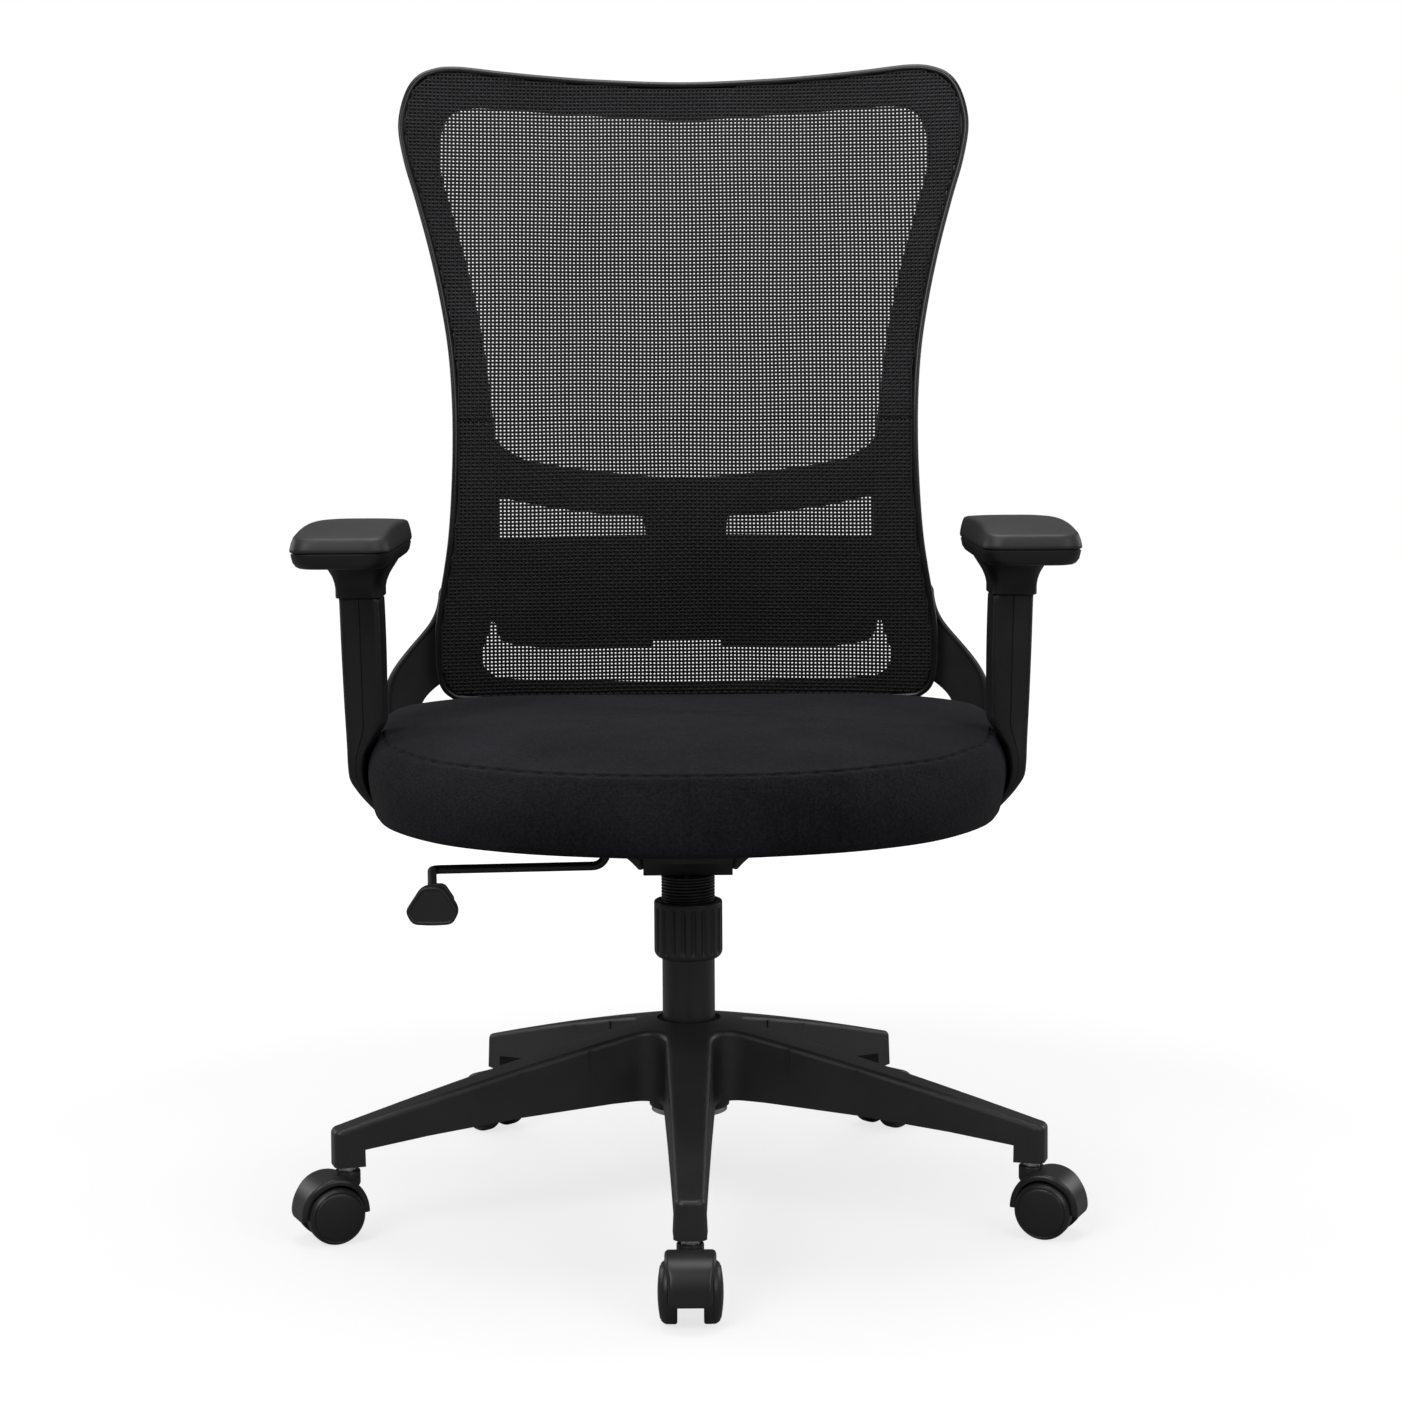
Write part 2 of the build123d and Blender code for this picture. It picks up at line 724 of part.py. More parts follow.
def seat_outline(grow, z):
    """The seat's plan: round front, fuller towards the back, with rounded rear corners."""
    w = seat_half_width
    plan = rounded_outline([(0, seat_back, 900), (w, seat_back - 7, 58), (w, -20, 120), (w - 26, -120, 150),
                            (w - 76, -186, 200), (125, seat_front + 14, 150), (0, seat_front, 500)])
    if grow:
        plan = offset(plan, grow)
    return Pos(0, 0, z) * plan


def seat_board():
    plan = seat_outline(-board_inset, board_low)
    body = extrude(plan, board_thickness, dir=(0, 0, 1))
    for x, y in seat_bolt_spots() + arm_bolt_spots() + support_bolt_spots():
        body -= drum(screw_radius, board_low - 1, board_low + 9, x, y)
    return body


def seat_cushion():
    """Foam body in its cover: bulged side wall, seam ring and crowned top, over the board."""
    levels = [(cushion_low, -10), (cushion_low + 10, 0), (cushion_low + 36, cushion_bulge),
              (seam_height - 10, cushion_bulge - 2), (seam_height, -1), (seam_height + 9, -16),
              (crown_height, -46)]
    body = loft([seat_outline(grow, z) for z, grow in levels], ruled=True)
    pocket = extrude(seat_outline(-board_inset, cushion_low - 1), board_top - cushion_low + 1, dir=(0, 0, 1))
    return body - pocket


def screw_up(x, y, low, high):
    """Flanged hexagon bolt from below: head under low, shank up to high."""
    head = extrude(RegularPolygon(screw_head_radius, 6), screw_head_height)
    return Pos(x, y, low - screw_head_height) * head + drum(screw_radius, low - 0.5, high, x, y)


def seat_bolts():
    spots = [screw_up(x, y, plate_low, board_low + 8) for x, y in seat_bolt_spots()]
    spots += [screw_up(x, y, arm_foot_low, board_low + 8) for x, y in arm_bolt_spots()]
    spots += [screw_up(x, y, support_foot_low, board_low + 8) for x, y in support_bolt_spots()]
    return Compound(spots)


# ---------------------------------------------------------------- arms


def arm_bolt_spots():
    return [(sx * (arm_foot_inner + dx), y) for sx in (-1, 1) for dx, y in ((20, -12), (96, 12))]


def arm_post():
    """The sitter's right arm: foot under the board, rounded corner and tapered hollow sleeve."""
    outer_low = (-arm_low_outer, arm_bend_height)
    inner_low = (-arm_low_inner, arm_bend_height)
    outer = Polyline((-arm_top_outer, arm_sleeve_top), outer_low)
    corner = Spline(outer_low, (-arm_low_outer + 10, 368), (-260, arm_foot_low + 1), (-240, arm_foot_low),
                    tangents=[(0.07, -1), (1, 0)])
    foot = Polyline((-240, arm_foot_low), (-arm_foot_inner, arm_foot_low), (-arm_foot_inner, board_low),
                    (-238, board_low), (-238, arm_foot_top), (-264, arm_foot_top))
    inside = Spline((-264, arm_foot_top), (-276, 367), inner_low, tangents=[(-1, 0), (0, 1)])
    lean = Polyline(inner_low, (-arm_low_inner + 1, 432), (-arm_top_inner, 470),
                    (-arm_top_inner, arm_sleeve_top), (-arm_top_outer, arm_sleeve_top))
    body = slab_xz(closed(outer, corner, foot, inside, lean), -arm_depth / 2, arm_depth / 2)
    sides = [e for e in body.edges() if abs((e @ 0.5).Y) > arm_depth / 2 - 0.01
             and (e @ 0.5).X < -arm_top_inner + 2 and (e @ 0.5).Z > arm_bend_height]
    long_sides = [e for e in sides if e.length > 60]
    body = fillet(long_sides, arm_edge)
    body -= arm_bar(arm_slide_gap, arm_bore_low, arm_sleeve_top + 1)
    for x, y in arm_bolt_spots():
        if x < 0:
            body -= drum(screw_radius, arm_foot_low - 1, board_low + 1, x, y)
    return body


def arm_bar(gap, low, high):
    half_x = arm_bore_width / 2 - arm_slide_gap + gap
    half_y = arm_bore_depth / 2 - arm_slide_gap + gap
    return block(-arm_bore_x - half_x, -arm_bore_x + half_x, -half_y, half_y, low, high)


def rounded_plan(x0, x1, y0, y1, radius, z):
    return Pos((x0 + x1) / 2, (y0 + y1) / 2, z) * RectangleRounded(x1 - x0, y1 - y0, radius)


def pad_plan(inset, z):
    """The arm pad's plan: blunt cut corners in front, sides drawn in to a rounder back."""
    half = pad_width / 2 - inset
    scale = half / (pad_width / 2)
    front = pad_front + inset
    back = pad_back - inset
    corners = [(0, back, 60), (half - 18 * scale, back - 2 * scale, 14 * scale),
               (half - 5 * scale, back - 16 * scale, 12 * scale), (half, 0, 200 * scale),
               (half, front + 17 * scale, 9 * scale), (half - 15 * scale, front + 2 * scale, 9 * scale),
               (0, front, 60)]
    return Pos(-arm_middle_x, 0, z) * rounded_outline(corners)


def arm_upright():
    """Sliding bar, flared skirt and the hard tray under the pad."""
    body = arm_bar(0, arm_bore_low + 2, skirt_low + 1)
    low = rounded_plan(-arm_top_outer - 2, -arm_top_inner + 2,
                       -arm_depth / 2 - 2, arm_depth / 2 + 2, 8, skirt_low)
    waist = rounded_plan(-arm_top_outer - 2.6, -arm_top_inner + 3,
                         -arm_depth / 2 - 3, arm_depth / 2 + 3, 8, skirt_low + 12)
    flare = rounded_plan(-arm_top_outer - 7, -arm_top_inner + 9, -arm_depth / 2 - 10, arm_depth / 2 + 12, 9,
                         skirt_high)
    top = rounded_plan(-arm_top_outer - 11, -arm_top_inner + 13, -arm_depth / 2 - 18, arm_depth / 2 + 20, 10,
                       tray_low + 1)
    body += loft([low, waist, flare, top], ruled=True)
    body += loft([pad_plan(6, tray_low), pad_plan(0.6, tray_top)], ruled=True)
    recess_x = -arm_top_outer - button_proud - 4
    recess = block(recess_x, -arm_top_outer + button_depth, -button_length / 2 - 0.3, button_length / 2 + 0.3,
                   button_z - button_height / 2 - 0.3, button_z + button_height / 2 + 0.3)
    return body - recess


def arm_pad():
    """Soft pad with a flat top and a broad bevel round it."""
    body = extrude(pad_plan(0, tray_top), pad_top - tray_top, dir=(0, 0, 1))
    return chamfer(body.edges().group_by(Axis.Z)[-1], pad_bevel)


def arm_button():
    x0 = -arm_top_outer - button_proud
    body = block(x0, x0 + 7, -button_length / 2, button_length / 2, button_z - button_height / 2,
                 button_z + button_height / 2)
    return fillet(body.edges().filter_by(Axis.X), 2)


# ---------------------------------------------------------------- back


def back_section(z, y, front, back):
    """Closed band at one height: a shallow arc in front and one behind it."""
    end = y + back_wrap * (1 - (back_slab_half / back_wrap_half) ** 2)
    mid = y + back_wrap
    s = back_slab_half
    fore = ThreePointArc((-s, end + front, z), (0, mid + front, z), (s, end + front, z))
    aft = ThreePointArc((s, end + back, z), (0, mid + back, z), (-s, end + back, z))
    right = Line((s, end + front, z), (s, end + back, z))
    left = Line((-s, end + back, z), (-s, end + front, z))
    return closed(fore, right, aft, left)


def curved_slab(front, back):
    """The back's curved layer between two distances behind its front face."""
    return loft([back_section(z, y, front, back) for z, y in back_side_line])


def back_height(share):
    """A height on the back, as a share of the way from its foot to its top."""
    return back_foot + (back_top - back_foot) * share


crossbar_top = back_height(crossbar_share)


def back_outline(inset):
    """Outer edge of the back: dipped top with full corners, waisted sides, rounded foot."""
    plan = rounded_outline([(0, back_top - 18, 1500), (back_half_width - 12, back_top + 4, 38),
                            (back_half_width + 3, back_top - 55, 80),
                            (back_half_width - 39, back_height(0.634), 600),
                            (back_waist_half, back_height(0.466), 500),
                            (back_waist_half, back_height(0.343), 450),
                            (back_foot_half, back_height(0.113), 400), (back_foot_half, back_foot, 24),
                            (0, back_foot - 3, 1500)])
    if inset:
        plan = offset(plan, -inset)
    return plan


def upper_window():
    return rounded_outline([(0, back_top - 54, 1500), (back_half_width - 50, back_top - 37, 22),
                            (back_half_width - 39, back_top - 82, 60),
                            (back_half_width - 75, back_height(0.634), 500),
                            (back_waist_half - 34, back_height(0.475), 300),
                            (back_waist_half - 41, crossbar_top + 24, 18), (0, crossbar_top, 900)])


def lower_window():
    """Opening below the crossbar, into which the stem that carries the lumbar pad hangs."""
    side = back_waist_half - 42
    window = rounded_outline([(0, crossbar_top - 41, 700), (side, crossbar_top - 16, 5),
                              (side - 1, back_height(0.212), 200), (side + 19, back_foot + 47, 16),
                              (side + 10, back_foot + 24, 14), (0, back_foot + 16, 1500)])
    stem = Pos(0, (stem_low + crossbar_top) / 2) * Rectangle(stem_half_width * 2, crossbar_top - stem_low)
    return window - stem


def back_frame():
    body = curved_slab(0, frame_thickness)
    plan = back_outline(0) - upper_window() - lower_window()
    body &= slab_xz(plan, 100, 400)
    for x, z in support_screw_spots():
        body -= rod_y(screw_radius, front_face(x, z) + 4, front_face(x, z) + 20, x, z)
    return body


def net_openings():
    """Even grid of square openings over the frame's windows, clear of their edges."""
    pitch = 1.6 * back_half_width / mesh_columns
    rows = int((back_top - back_foot) / pitch) + 1
    middle = (mesh_columns - 1) / 2
    cell = Rectangle(pitch - mesh_bar, pitch - mesh_bar)
    grid = Sketch() + [Pos((i - middle) * pitch, back_foot + (j + 0.5) * pitch) * cell
                       for i in range(mesh_columns) for j in range(rows)]
    windows = offset(upper_window(), -mesh_bar / 2) + offset(lower_window(), -mesh_bar / 2)
    return [face for face in (windows & grid).faces() if face.area > cell.area / 6]


def back_mesh():
    """The stretched net: a thin curved layer with its mesh drawn as a coarse grid over the windows."""
    body = curved_slab(-mesh_thickness, 0)
    return body & slab_xz(back_outline(mesh_inset) - net_openings(), 100, 400)


def side_line(z):
    """Depth of the back's side edge at a height, straight between the listed heights."""
    for (z0, y0), (z1, y1) in zip(back_side_line, back_side_line[1:]):
        if z0 <= z <= z1:
            return y0 + (y1 - y0) * (z - z0) / (z1 - z0)
    return back_side_line[-1][1]


def front_face(x, z):
    return side_line(z) + back_wrap * (1 - (x / back_wrap_half) ** 2)


screw_seat = frame_thickness + support_thickness - 3


def support_screw_spots():
    return [(sx * 226, z) for sx in (-1, 1) for z in (480, 520)]


def support_bolt_spots():
    return [(sx * x, y) for sx in (-1, 1) for x, y in ((170, 130), (200, 165))]


def back_support():
    """The sitter's right ear: bolted behind the frame, round the seat's corner, foot under the board."""
    back = frame_thickness + support_thickness
    outer = Spline((-238, 534), (-257, 491), (-276, 469), (-289, 448), (-291, 415), (-288, 372), (-272, 349))
    low = Polyline((-272, 349), (-250, 347), (-238, 356))
    inner = Spline((-238, 356), (-256, 376), (-263, 405), (-257, 430), (-236, 450), (-212, 470))
    top = Polyline((-212, 470), (-210, 530), (-222, 542), (-238, 534))
    blade = curved_slab(frame_thickness, back) & slab_xz(closed(outer, low, inner, top), 100, 400)
    y_mid = side_line(350) + 12
    plan = Polygon((-286, y_mid + 6), (-282, y_mid - 14), (-240, 150), (-222, 108), (-150, 108), (-150, 150),
                   (-214, y_mid), (-238, y_mid + 14), (-270, y_mid + 16), align=None)
    plan = fillet(plan.vertices(), 5)
    foot = extrude(Pos(0, 0, support_foot_low) * plan, arm_foot_top - support_foot_low)
    lift = Polygon((-226, 114), (-156, 114), (-156, 150), (-208, 196), (-226, 178), align=None)
    foot += extrude(Pos(0, 0, arm_foot_top - 1) * lift, board_low - arm_foot_top + 1)
    body = blade + foot
    for x, y in support_bolt_spots():
        if x < 0:
            body -= drum(screw_radius, support_foot_low - 1, board_low + 1, x, y)
    for x, z in support_screw_spots():
        if x < 0:
            seat = front_face(x, z) + screw_seat
            body -= rod_y(screw_radius, front_face(x, z), seat + 1, x, z)
            body -= rod_y(screw_head_radius + 0.5, seat, seat + 30, x, z)
    return body


def back_bolts():
    """Screws that hold the frame to the two supports."""
    screws = []
    for x, z in support_screw_spots():
        start = front_face(x, z) + 5
        seat = front_face(x, z) + screw_seat
        head = rod_y(screw_head_radius, seat, seat + screw_head_height, x, z)
        screws.append(rod_y(screw_radius, start, seat, x, z) + head)
    return Compound(screws)


def lumbar_pad():
    """Sliding lumbar plate behind the frame, with the notched lower edge and its guide on the stem."""
    front = frame_thickness + lumbar_gap
    wide = lumbar_half_width
    foot = lumbar_foot_half
    plan = rounded_outline([(0, lumbar_high, 900), (wide, lumbar_high - 2, 8), (wide, lumbar_low + 48, 30),
                            (foot + 6, lumbar_low + 26, 30), (foot, lumbar_low + 6, 12),
                            (foot - 34, lumbar_low, 60), (0, lumbar_low - 2, 900)])
    notch = Pos(0, lumbar_low) * Rectangle(stem_half_width * 2, 12)
    body = curved_slab(front, front + lumbar_thickness) & slab_xz(plan - notch, 100, 400)
    claw_x = stem_half_width + sitting_gap + 2
    claw_z = stem_low + 50
    claws = Pos(claw_x, claw_z) * Rectangle(4, 40) + Pos(-claw_x, claw_z) * Rectangle(4, 40)
    return body + (curved_slab(frame_thickness - 7, front + 1) & slab_xz(claws, 100, 400))


nodes = {
    "base_star": base_star, "hub_ring": hub_ring, "gas_outer_tube": gas_outer_tube,
    "gas_guide_bush": gas_guide_bush, "gas_lower_bearing": gas_lower_bearing, "gas_clip": gas_clip,
    "gas_piston_rod": gas_piston_rod, "gas_bump_ring": gas_bump_ring, "gas_cylinder": gas_cylinder,
    "gas_valve_button": gas_valve_button, "mech_housing": mech_housing, "cone_socket": cone_socket,
    "tension_bolt": tension_bolt, "tension_spring": tension_spring, "tension_washer": tension_washer,
    "tension_knob": tension_knob, "lever_bush": lever_bush, "lock_slide": lock_slide, "lever_rod": lever_rod,
    "lever_paddle": lever_paddle, "seat_plate": seat_plate, "pivot_axle": pivot_axle,
    "seat_board": seat_board, "seat_cushion": seat_cushion, "seat_bolts": seat_bolts,
    "back_frame": back_frame, "back_mesh": back_mesh, "back_bolts": back_bolts, "lumbar_pad": lumbar_pad,
}
for node, make in nodes.items():
    save(make(), node)

pairs = {"arm_post": arm_post, "arm_upright": arm_upright, "arm_pad": arm_pad, "arm_button": arm_button,
         "back_support": back_support}
for node, make in pairs.items():
    shape = make()
    save(shape, node + "_right")
    save(mirrored(shape), node + "_left")

save_casters()
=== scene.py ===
import math
from functools import partial

import bpy
import numpy as np
from mathutils import Matrix, Vector


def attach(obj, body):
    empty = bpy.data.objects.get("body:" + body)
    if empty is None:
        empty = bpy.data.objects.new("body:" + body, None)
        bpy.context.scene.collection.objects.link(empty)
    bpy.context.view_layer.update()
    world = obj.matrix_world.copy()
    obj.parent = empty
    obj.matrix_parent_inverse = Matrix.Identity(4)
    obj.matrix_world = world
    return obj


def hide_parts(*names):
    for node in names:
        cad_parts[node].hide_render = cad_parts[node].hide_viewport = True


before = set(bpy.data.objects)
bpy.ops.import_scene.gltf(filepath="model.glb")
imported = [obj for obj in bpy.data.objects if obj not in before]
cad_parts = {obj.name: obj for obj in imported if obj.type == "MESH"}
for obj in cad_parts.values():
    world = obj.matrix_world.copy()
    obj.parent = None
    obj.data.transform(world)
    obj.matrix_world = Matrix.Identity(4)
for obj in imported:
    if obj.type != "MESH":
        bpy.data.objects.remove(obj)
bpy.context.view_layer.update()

scene = bpy.context.scene
mm = 0.001
nothing = 1e-6
print("frame loaded:", len(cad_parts), "nodes")


# meshes are made from grids of points; all lengths are in millimetres

def smoothstep(x, a, b):
    # 0 below a, 1 above b, 3t^2 - 2t^3 between them
    t = np.clip((np.asarray(x, float) - a) / (b - a), 0, 1)
    return t * t * (3 - 2 * t)


def gridFaces(rows, cols, wrapRows=False, wrapCols=False):
    # quads between neighbouring rows and columns of a grid numbered row by row
    index = np.arange(rows * cols).reshape(rows, cols)
    if wrapRows:
        index = np.vstack([index, index[:1]])
    if wrapCols:
        index = np.hstack([index, index[:, :1]])
    return np.stack([index[:-1, :-1], index[1:, :-1], index[1:, 1:], index[:-1, 1:]], -1).reshape(-1, 4)


def outward(points, faces):
    # turns the faces to look away from the inside, by the sign of volume = sum of a . (b x c) + a . (c x d)
    points = np.asarray(points, float).reshape(-1, 3)
    a, b, c, d = (points[faces[:, i]] for i in range(4))
    volume = (a * np.cross(b, c)).sum() + (a * np.cross(c, d)).sum()
    return (points, faces[:, [3, 2, 1, 0]]) if volume < 0 else (points, faces)


def placed(name, data):
    holder = bpy.data.objects.new(name, data)
    scene.collection.objects.link(holder)
    return holder


def meshPiece(name, points, faces, material, body, sharp=38, uv=None):
    # a closed mesh; faces are quads, with two neighbouring corners equal where a triangle is meant
    points, faces = outward(points, np.asarray(faces, np.int64))
    flip = faces[:, 0] == faces[:, 1]
    tri = flip | (faces[:, 2] == faces[:, 3])
    faces = np.where(flip[:, None], faces[:, [1, 2, 3, 3]], faces)
    keep = np.ones(faces.shape, bool)
    keep[tri, 3] = False
    loops = faces[keep]
    counts = np.where(tri, 3, 4)
    mesh = bpy.data.meshes.new(name)
    mesh.vertices.add(len(points))
    mesh.vertices.foreach_set("co", (points * mm).astype(np.float32).ravel())
    mesh.loops.add(len(loops))
    mesh.loops.foreach_set("vertex_index", loops.astype(np.int32))
    mesh.polygons.add(len(faces))
    starts = np.concatenate([[0], np.cumsum(counts)[:-1]])
    mesh.polygons.foreach_set("loop_start", starts.astype(np.int32))
    mesh.polygons.foreach_set("loop_total", counts.astype(np.int32))
    if uv is not None:
        layer = mesh.uv_layers.new(name="UVMap")
        layer.data.foreach_set("uv", np.asarray(uv, np.float32).reshape(-1, 2)[loops].ravel())
    mesh.update(calc_edges=True)
    mesh.validate()
    mesh.shade_smooth()
    if sharp:
        mesh.set_sharp_from_angle(angle=math.radians(sharp))
    mesh.materials.append(finish[material])
    piece = placed(name, mesh)
    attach(piece, body)
    return piece


def joined(*parts):
    # several (points, faces) lists as one
    allPoints, allFaces, start = [], [], 0
    for points, faces in parts:
        allPoints.append(points)
        allFaces.append(faces + start)
        start += len(points)
    return np.vstack(allPoints), np.vstack(allFaces)


def tube(grid):
    # a closed form from a grid of rings: each row is a ring, and a fan to their middle closes the end rings
    rows, cols = grid.shape[:2]
    first, last = rows * cols, rows * cols + 1
    points = np.vstack([grid.reshape(-1, 3), grid[0].mean(0), grid[-1].mean(0)])
    j = np.arange(cols)
    k = (j + 1) % cols
    end = (rows - 1) * cols
    head = np.stack([np.full(cols, first), j, k, k], -1)
    tail = np.stack([np.full(cols, last), end + k, end + j, end + j], -1)
    return outward(points, np.vstack([gridFaces(rows, cols, wrapCols=True), head, tail]))


def ring(grid):
    # a closed form from a grid that wraps both ways, like a torus
    return outward(grid, gridFaces(*grid.shape[:2], wrapRows=True, wrapCols=True))


def resample(points, count, close=False):
    # evenly spaced points along a polyline
    points = np.asarray(points, float)
    if close:
        points = np.vstack([points, points[:1]])
    s = np.concatenate([[0], np.cumsum(np.linalg.norm(np.diff(points, axis=0), axis=1))])
    t = np.linspace(0, s[-1], count + 1)[:-1] if close else np.linspace(0, s[-1], count)
    return np.stack([np.interp(t, s, points[:, i]) for i in range(points.shape[1])], -1)


def spline(points, count, close=False):
    # Catmull-Rom curve through the points, sampled evenly in length
    p = np.asarray(points, float)
    if close:
        p = np.vstack([p[-1:], p, p[:2]])
    else:
        p = np.vstack([2 * p[0] - p[1], p, 2 * p[-1] - p[-2]])
    t = np.linspace(0, 1, 24, endpoint=False)[None, :, None]
    a, b, c, d = (q[:, None, :] for q in (p[:-3], p[1:-2], p[2:-1], p[3:]))
    square, cube = 2 * a - 5 * b + 4 * c - d, 3 * b - a - 3 * c + d
    curve = (0.5 * (2 * b + (c - a) * t + square * t**2 + cube * t**3)).reshape(-1, p.shape[1])
    if not close:
        curve = np.vstack([curve, p[-2]])
    return resample(curve, count, close)


def filleted(corners, radii, count):
    # a closed polygon with each corner rounded by an arc-like curve of the given cut length
    p = np.asarray(corners, float)
    before, after = np.roll(p, 1, 0) - p, np.roll(p, -1, 0) - p
    reach = np.asarray(radii, float)[:, None]
    a = p + before / np.linalg.norm(before, axis=1)[:, None] * reach
    b = p + after / np.linalg.norm(after, axis=1)[:, None] * reach
    t = np.linspace(0, 1, 12)[None, :, None]
    curve = (1 - t) ** 2 * a[:, None] + 2 * t * (1 - t) * p[:, None] + t**2 * b[:, None]
    return resample(curve.reshape(-1, p.shape[1]), count, close=True)


def fullTurn(count):
    return np.linspace(0, 2 * np.pi, count, endpoint=False)


def circle(radius, count):
    turn = fullTurn(count)
    return radius * np.stack([np.cos(turn), np.sin(turn)], -1)


def roundRect(halfX, halfY, radius, count):
    # a rectangle with round corners, as a closed loop evenly spaced in length
    radius = min(radius, halfX - nothing, halfY - nothing)
    angle = fullTurn(96) + np.pi / 96
    x = np.where(np.cos(angle) > 0, halfX - radius, radius - halfX) + radius * np.cos(angle)
    y = np.where(np.sin(angle) > 0, halfY - radius, radius - halfY) + radius * np.sin(angle)
    return resample(np.stack([x, y], -1), count, close=True)


def turned(profile, count):
    # a profile of (radius, along) pairs turned about Z
    profile = np.asarray(profile, float)
    angle = fullTurn(count)
    r = profile[:, :1]
    return np.stack([r * np.cos(angle), r * np.sin(angle), np.repeat(profile[:, 1:], count, 1)], -1)


def carried(path, profile, up):
    # a closed 2-D profile carried along a path, its first axis level with "side" = path direction x up
    along = np.gradient(path, axis=0)
    along /= np.linalg.norm(along, axis=1)[:, None]
    side = np.cross(along, np.asarray(up, float))
    side /= np.linalg.norm(side, axis=1)[:, None]
    rise = np.cross(side, along)
    return path[:, None] + profile[None, :, :1] * side[:, None] + profile[None, :, 1:] * rise[:, None]


def mirrorX(points):
    return points * np.array([-1, 1, 1])


def bothSides(half):
    # a closed loop from its right half, listed from the middle of the top down to the middle of the bottom
    half = np.asarray(half, float)
    left = half[::-1] * np.array([-1, 1])
    return np.vstack([half, left[left[:, 0] < -nothing]])


def reachFrom(centre, loop):
    # a closed loop's distance from the centre, as a function of the bearing atan2(x, y)
    offset = loop - np.asarray(centre, float)
    bearing, reach = np.arctan2(offset[:, 0], offset[:, 1]), np.hypot(*offset.T)
    order = np.argsort(bearing)
    return lambda angle: np.interp(angle, bearing[order], reach[order], period=2 * np.pi)


def polarLoop(loop, centre, count):
    # a closed loop re-sampled at even angles about a centre: (count, 2)
    even = np.linspace(-np.pi, np.pi, count, endpoint=False)
    r = reachFrom(centre, spline(loop, 3000, close=True))(even)
    return np.stack([r * np.sin(even), r * np.cos(even)], -1) + np.asarray(centre, float)


def loopSide(loop):
    # unit normals of a closed loop that point away from its middle
    d = np.roll(loop, -1, 0) - np.roll(loop, 1, 0)
    d /= np.linalg.norm(d, axis=1)[:, None]
    normal = np.stack([d[:, 1], -d[:, 0]], -1)
    return normal * np.sign((normal * (loop - loop.mean(0))).sum())


def sections(levels):
    # a grid of level loops: each row is (loop of (x, y), z)
    return np.array([np.column_stack([loop, np.full(len(loop), z)]) for loop, z in levels])


# shared shader groups

def addNode(tree, kind, inputs, **settings):
    # a node with its settings; each input gets a number or colour, or is linked to another node's output
    node = tree.nodes.new("ShaderNode" + kind)
    for key, value in settings.items():
        setattr(node, key, value)
    for key, value in inputs.items():
        if isinstance(value, bpy.types.NodeSocket):
            tree.links.new(value, node.inputs[key])
        else:
            node.inputs[key].default_value = value
    return node


def mathNode(tree, operation, a, b=None, clamp=False):
    inputs = {0: a} if b is None else {0: a, 1: b}
    return addNode(tree, "Math", inputs, operation=operation, use_clamp=clamp).outputs[0]


def noiseNode(tree, vector, scale, detail=2.0, rough=0.5):
    inputs = {"Vector": vector, "Scale": scale, "Detail": detail, "Roughness": rough}
    return addNode(tree, "TexNoise", inputs).outputs["Fac"]


def mixColour(tree, factor, a, b):
    a, b = ((*value, 1) if isinstance(value, tuple) else value for value in (a, b))
    return addNode(tree, "Mix", {"Factor": factor, 6: a, 7: b}, data_type="RGBA").outputs[2]


def ranged(tree, value, low, high, fromLow=0.3, fromHigh=0.7):
    inputs = {"Value": value, "From Min": fromLow, "From Max": fromHigh, "To Min": low, "To Max": high}
    return addNode(tree, "MapRange", inputs).outputs[0]


def newGroup(name, inputs, outputs):
    # the group, its own input and output sockets, and the calls that put a maths or a noise node into it
    group = bpy.data.node_groups.new(name, "ShaderNodeTree")
    for label, value in inputs.items():
        socket = group.interface.new_socket(name=label, in_out="INPUT", socket_type="NodeSocketFloat")
        socket.default_value = value
    for label in outputs:
        group.interface.new_socket(name=label, in_out="OUTPUT", socket_type="NodeSocketFloat")
    given, made = group.nodes.new("NodeGroupInput").outputs, group.nodes.new("NodeGroupOutput").inputs
    return group, given, made, partial(mathNode, group), partial(noiseNode, group)


def makeMouldGrain():
    # moulded plastic and paint: spark-eroded grain, slow flow marks and a little dust on upward faces, where
    # dust = (0.5 * flow + specks) * upward
    group, given, made, calc, noise = newGroup(
        "mouldGrain", {"Grain Scale": 1400.0, "Dust": 0.3}, ["Height", "Patch", "Dust"])
    place = addNode(group, "TexCoord", {}).outputs["Object"]
    grain = noise(place, given["Grain Scale"], 3.0, 0.6)
    flow = noise(place, 14.0, 4.0, 0.55)
    specks = calc("MULTIPLY", calc("SUBTRACT", noise(place, 900.0, 1.0), 0.62, True), 5.0, True)
    normal = addNode(group, "NewGeometry", {}).outputs["Normal"]
    height = addNode(group, "SeparateXYZ", {0: normal}).outputs["Z"]
    upward = calc("MULTIPLY", calc("SUBTRACT", height, 0.35, True), 1.5, True)
    dust = calc("MULTIPLY", calc("ADD", calc("MULTIPLY", flow, 0.5), specks), upward)
    group.links.new(grain, made["Height"])
    group.links.new(flow, made["Patch"])
    group.links.new(calc("MULTIPLY", dust, given["Dust"], True), made["Dust"])
    return group


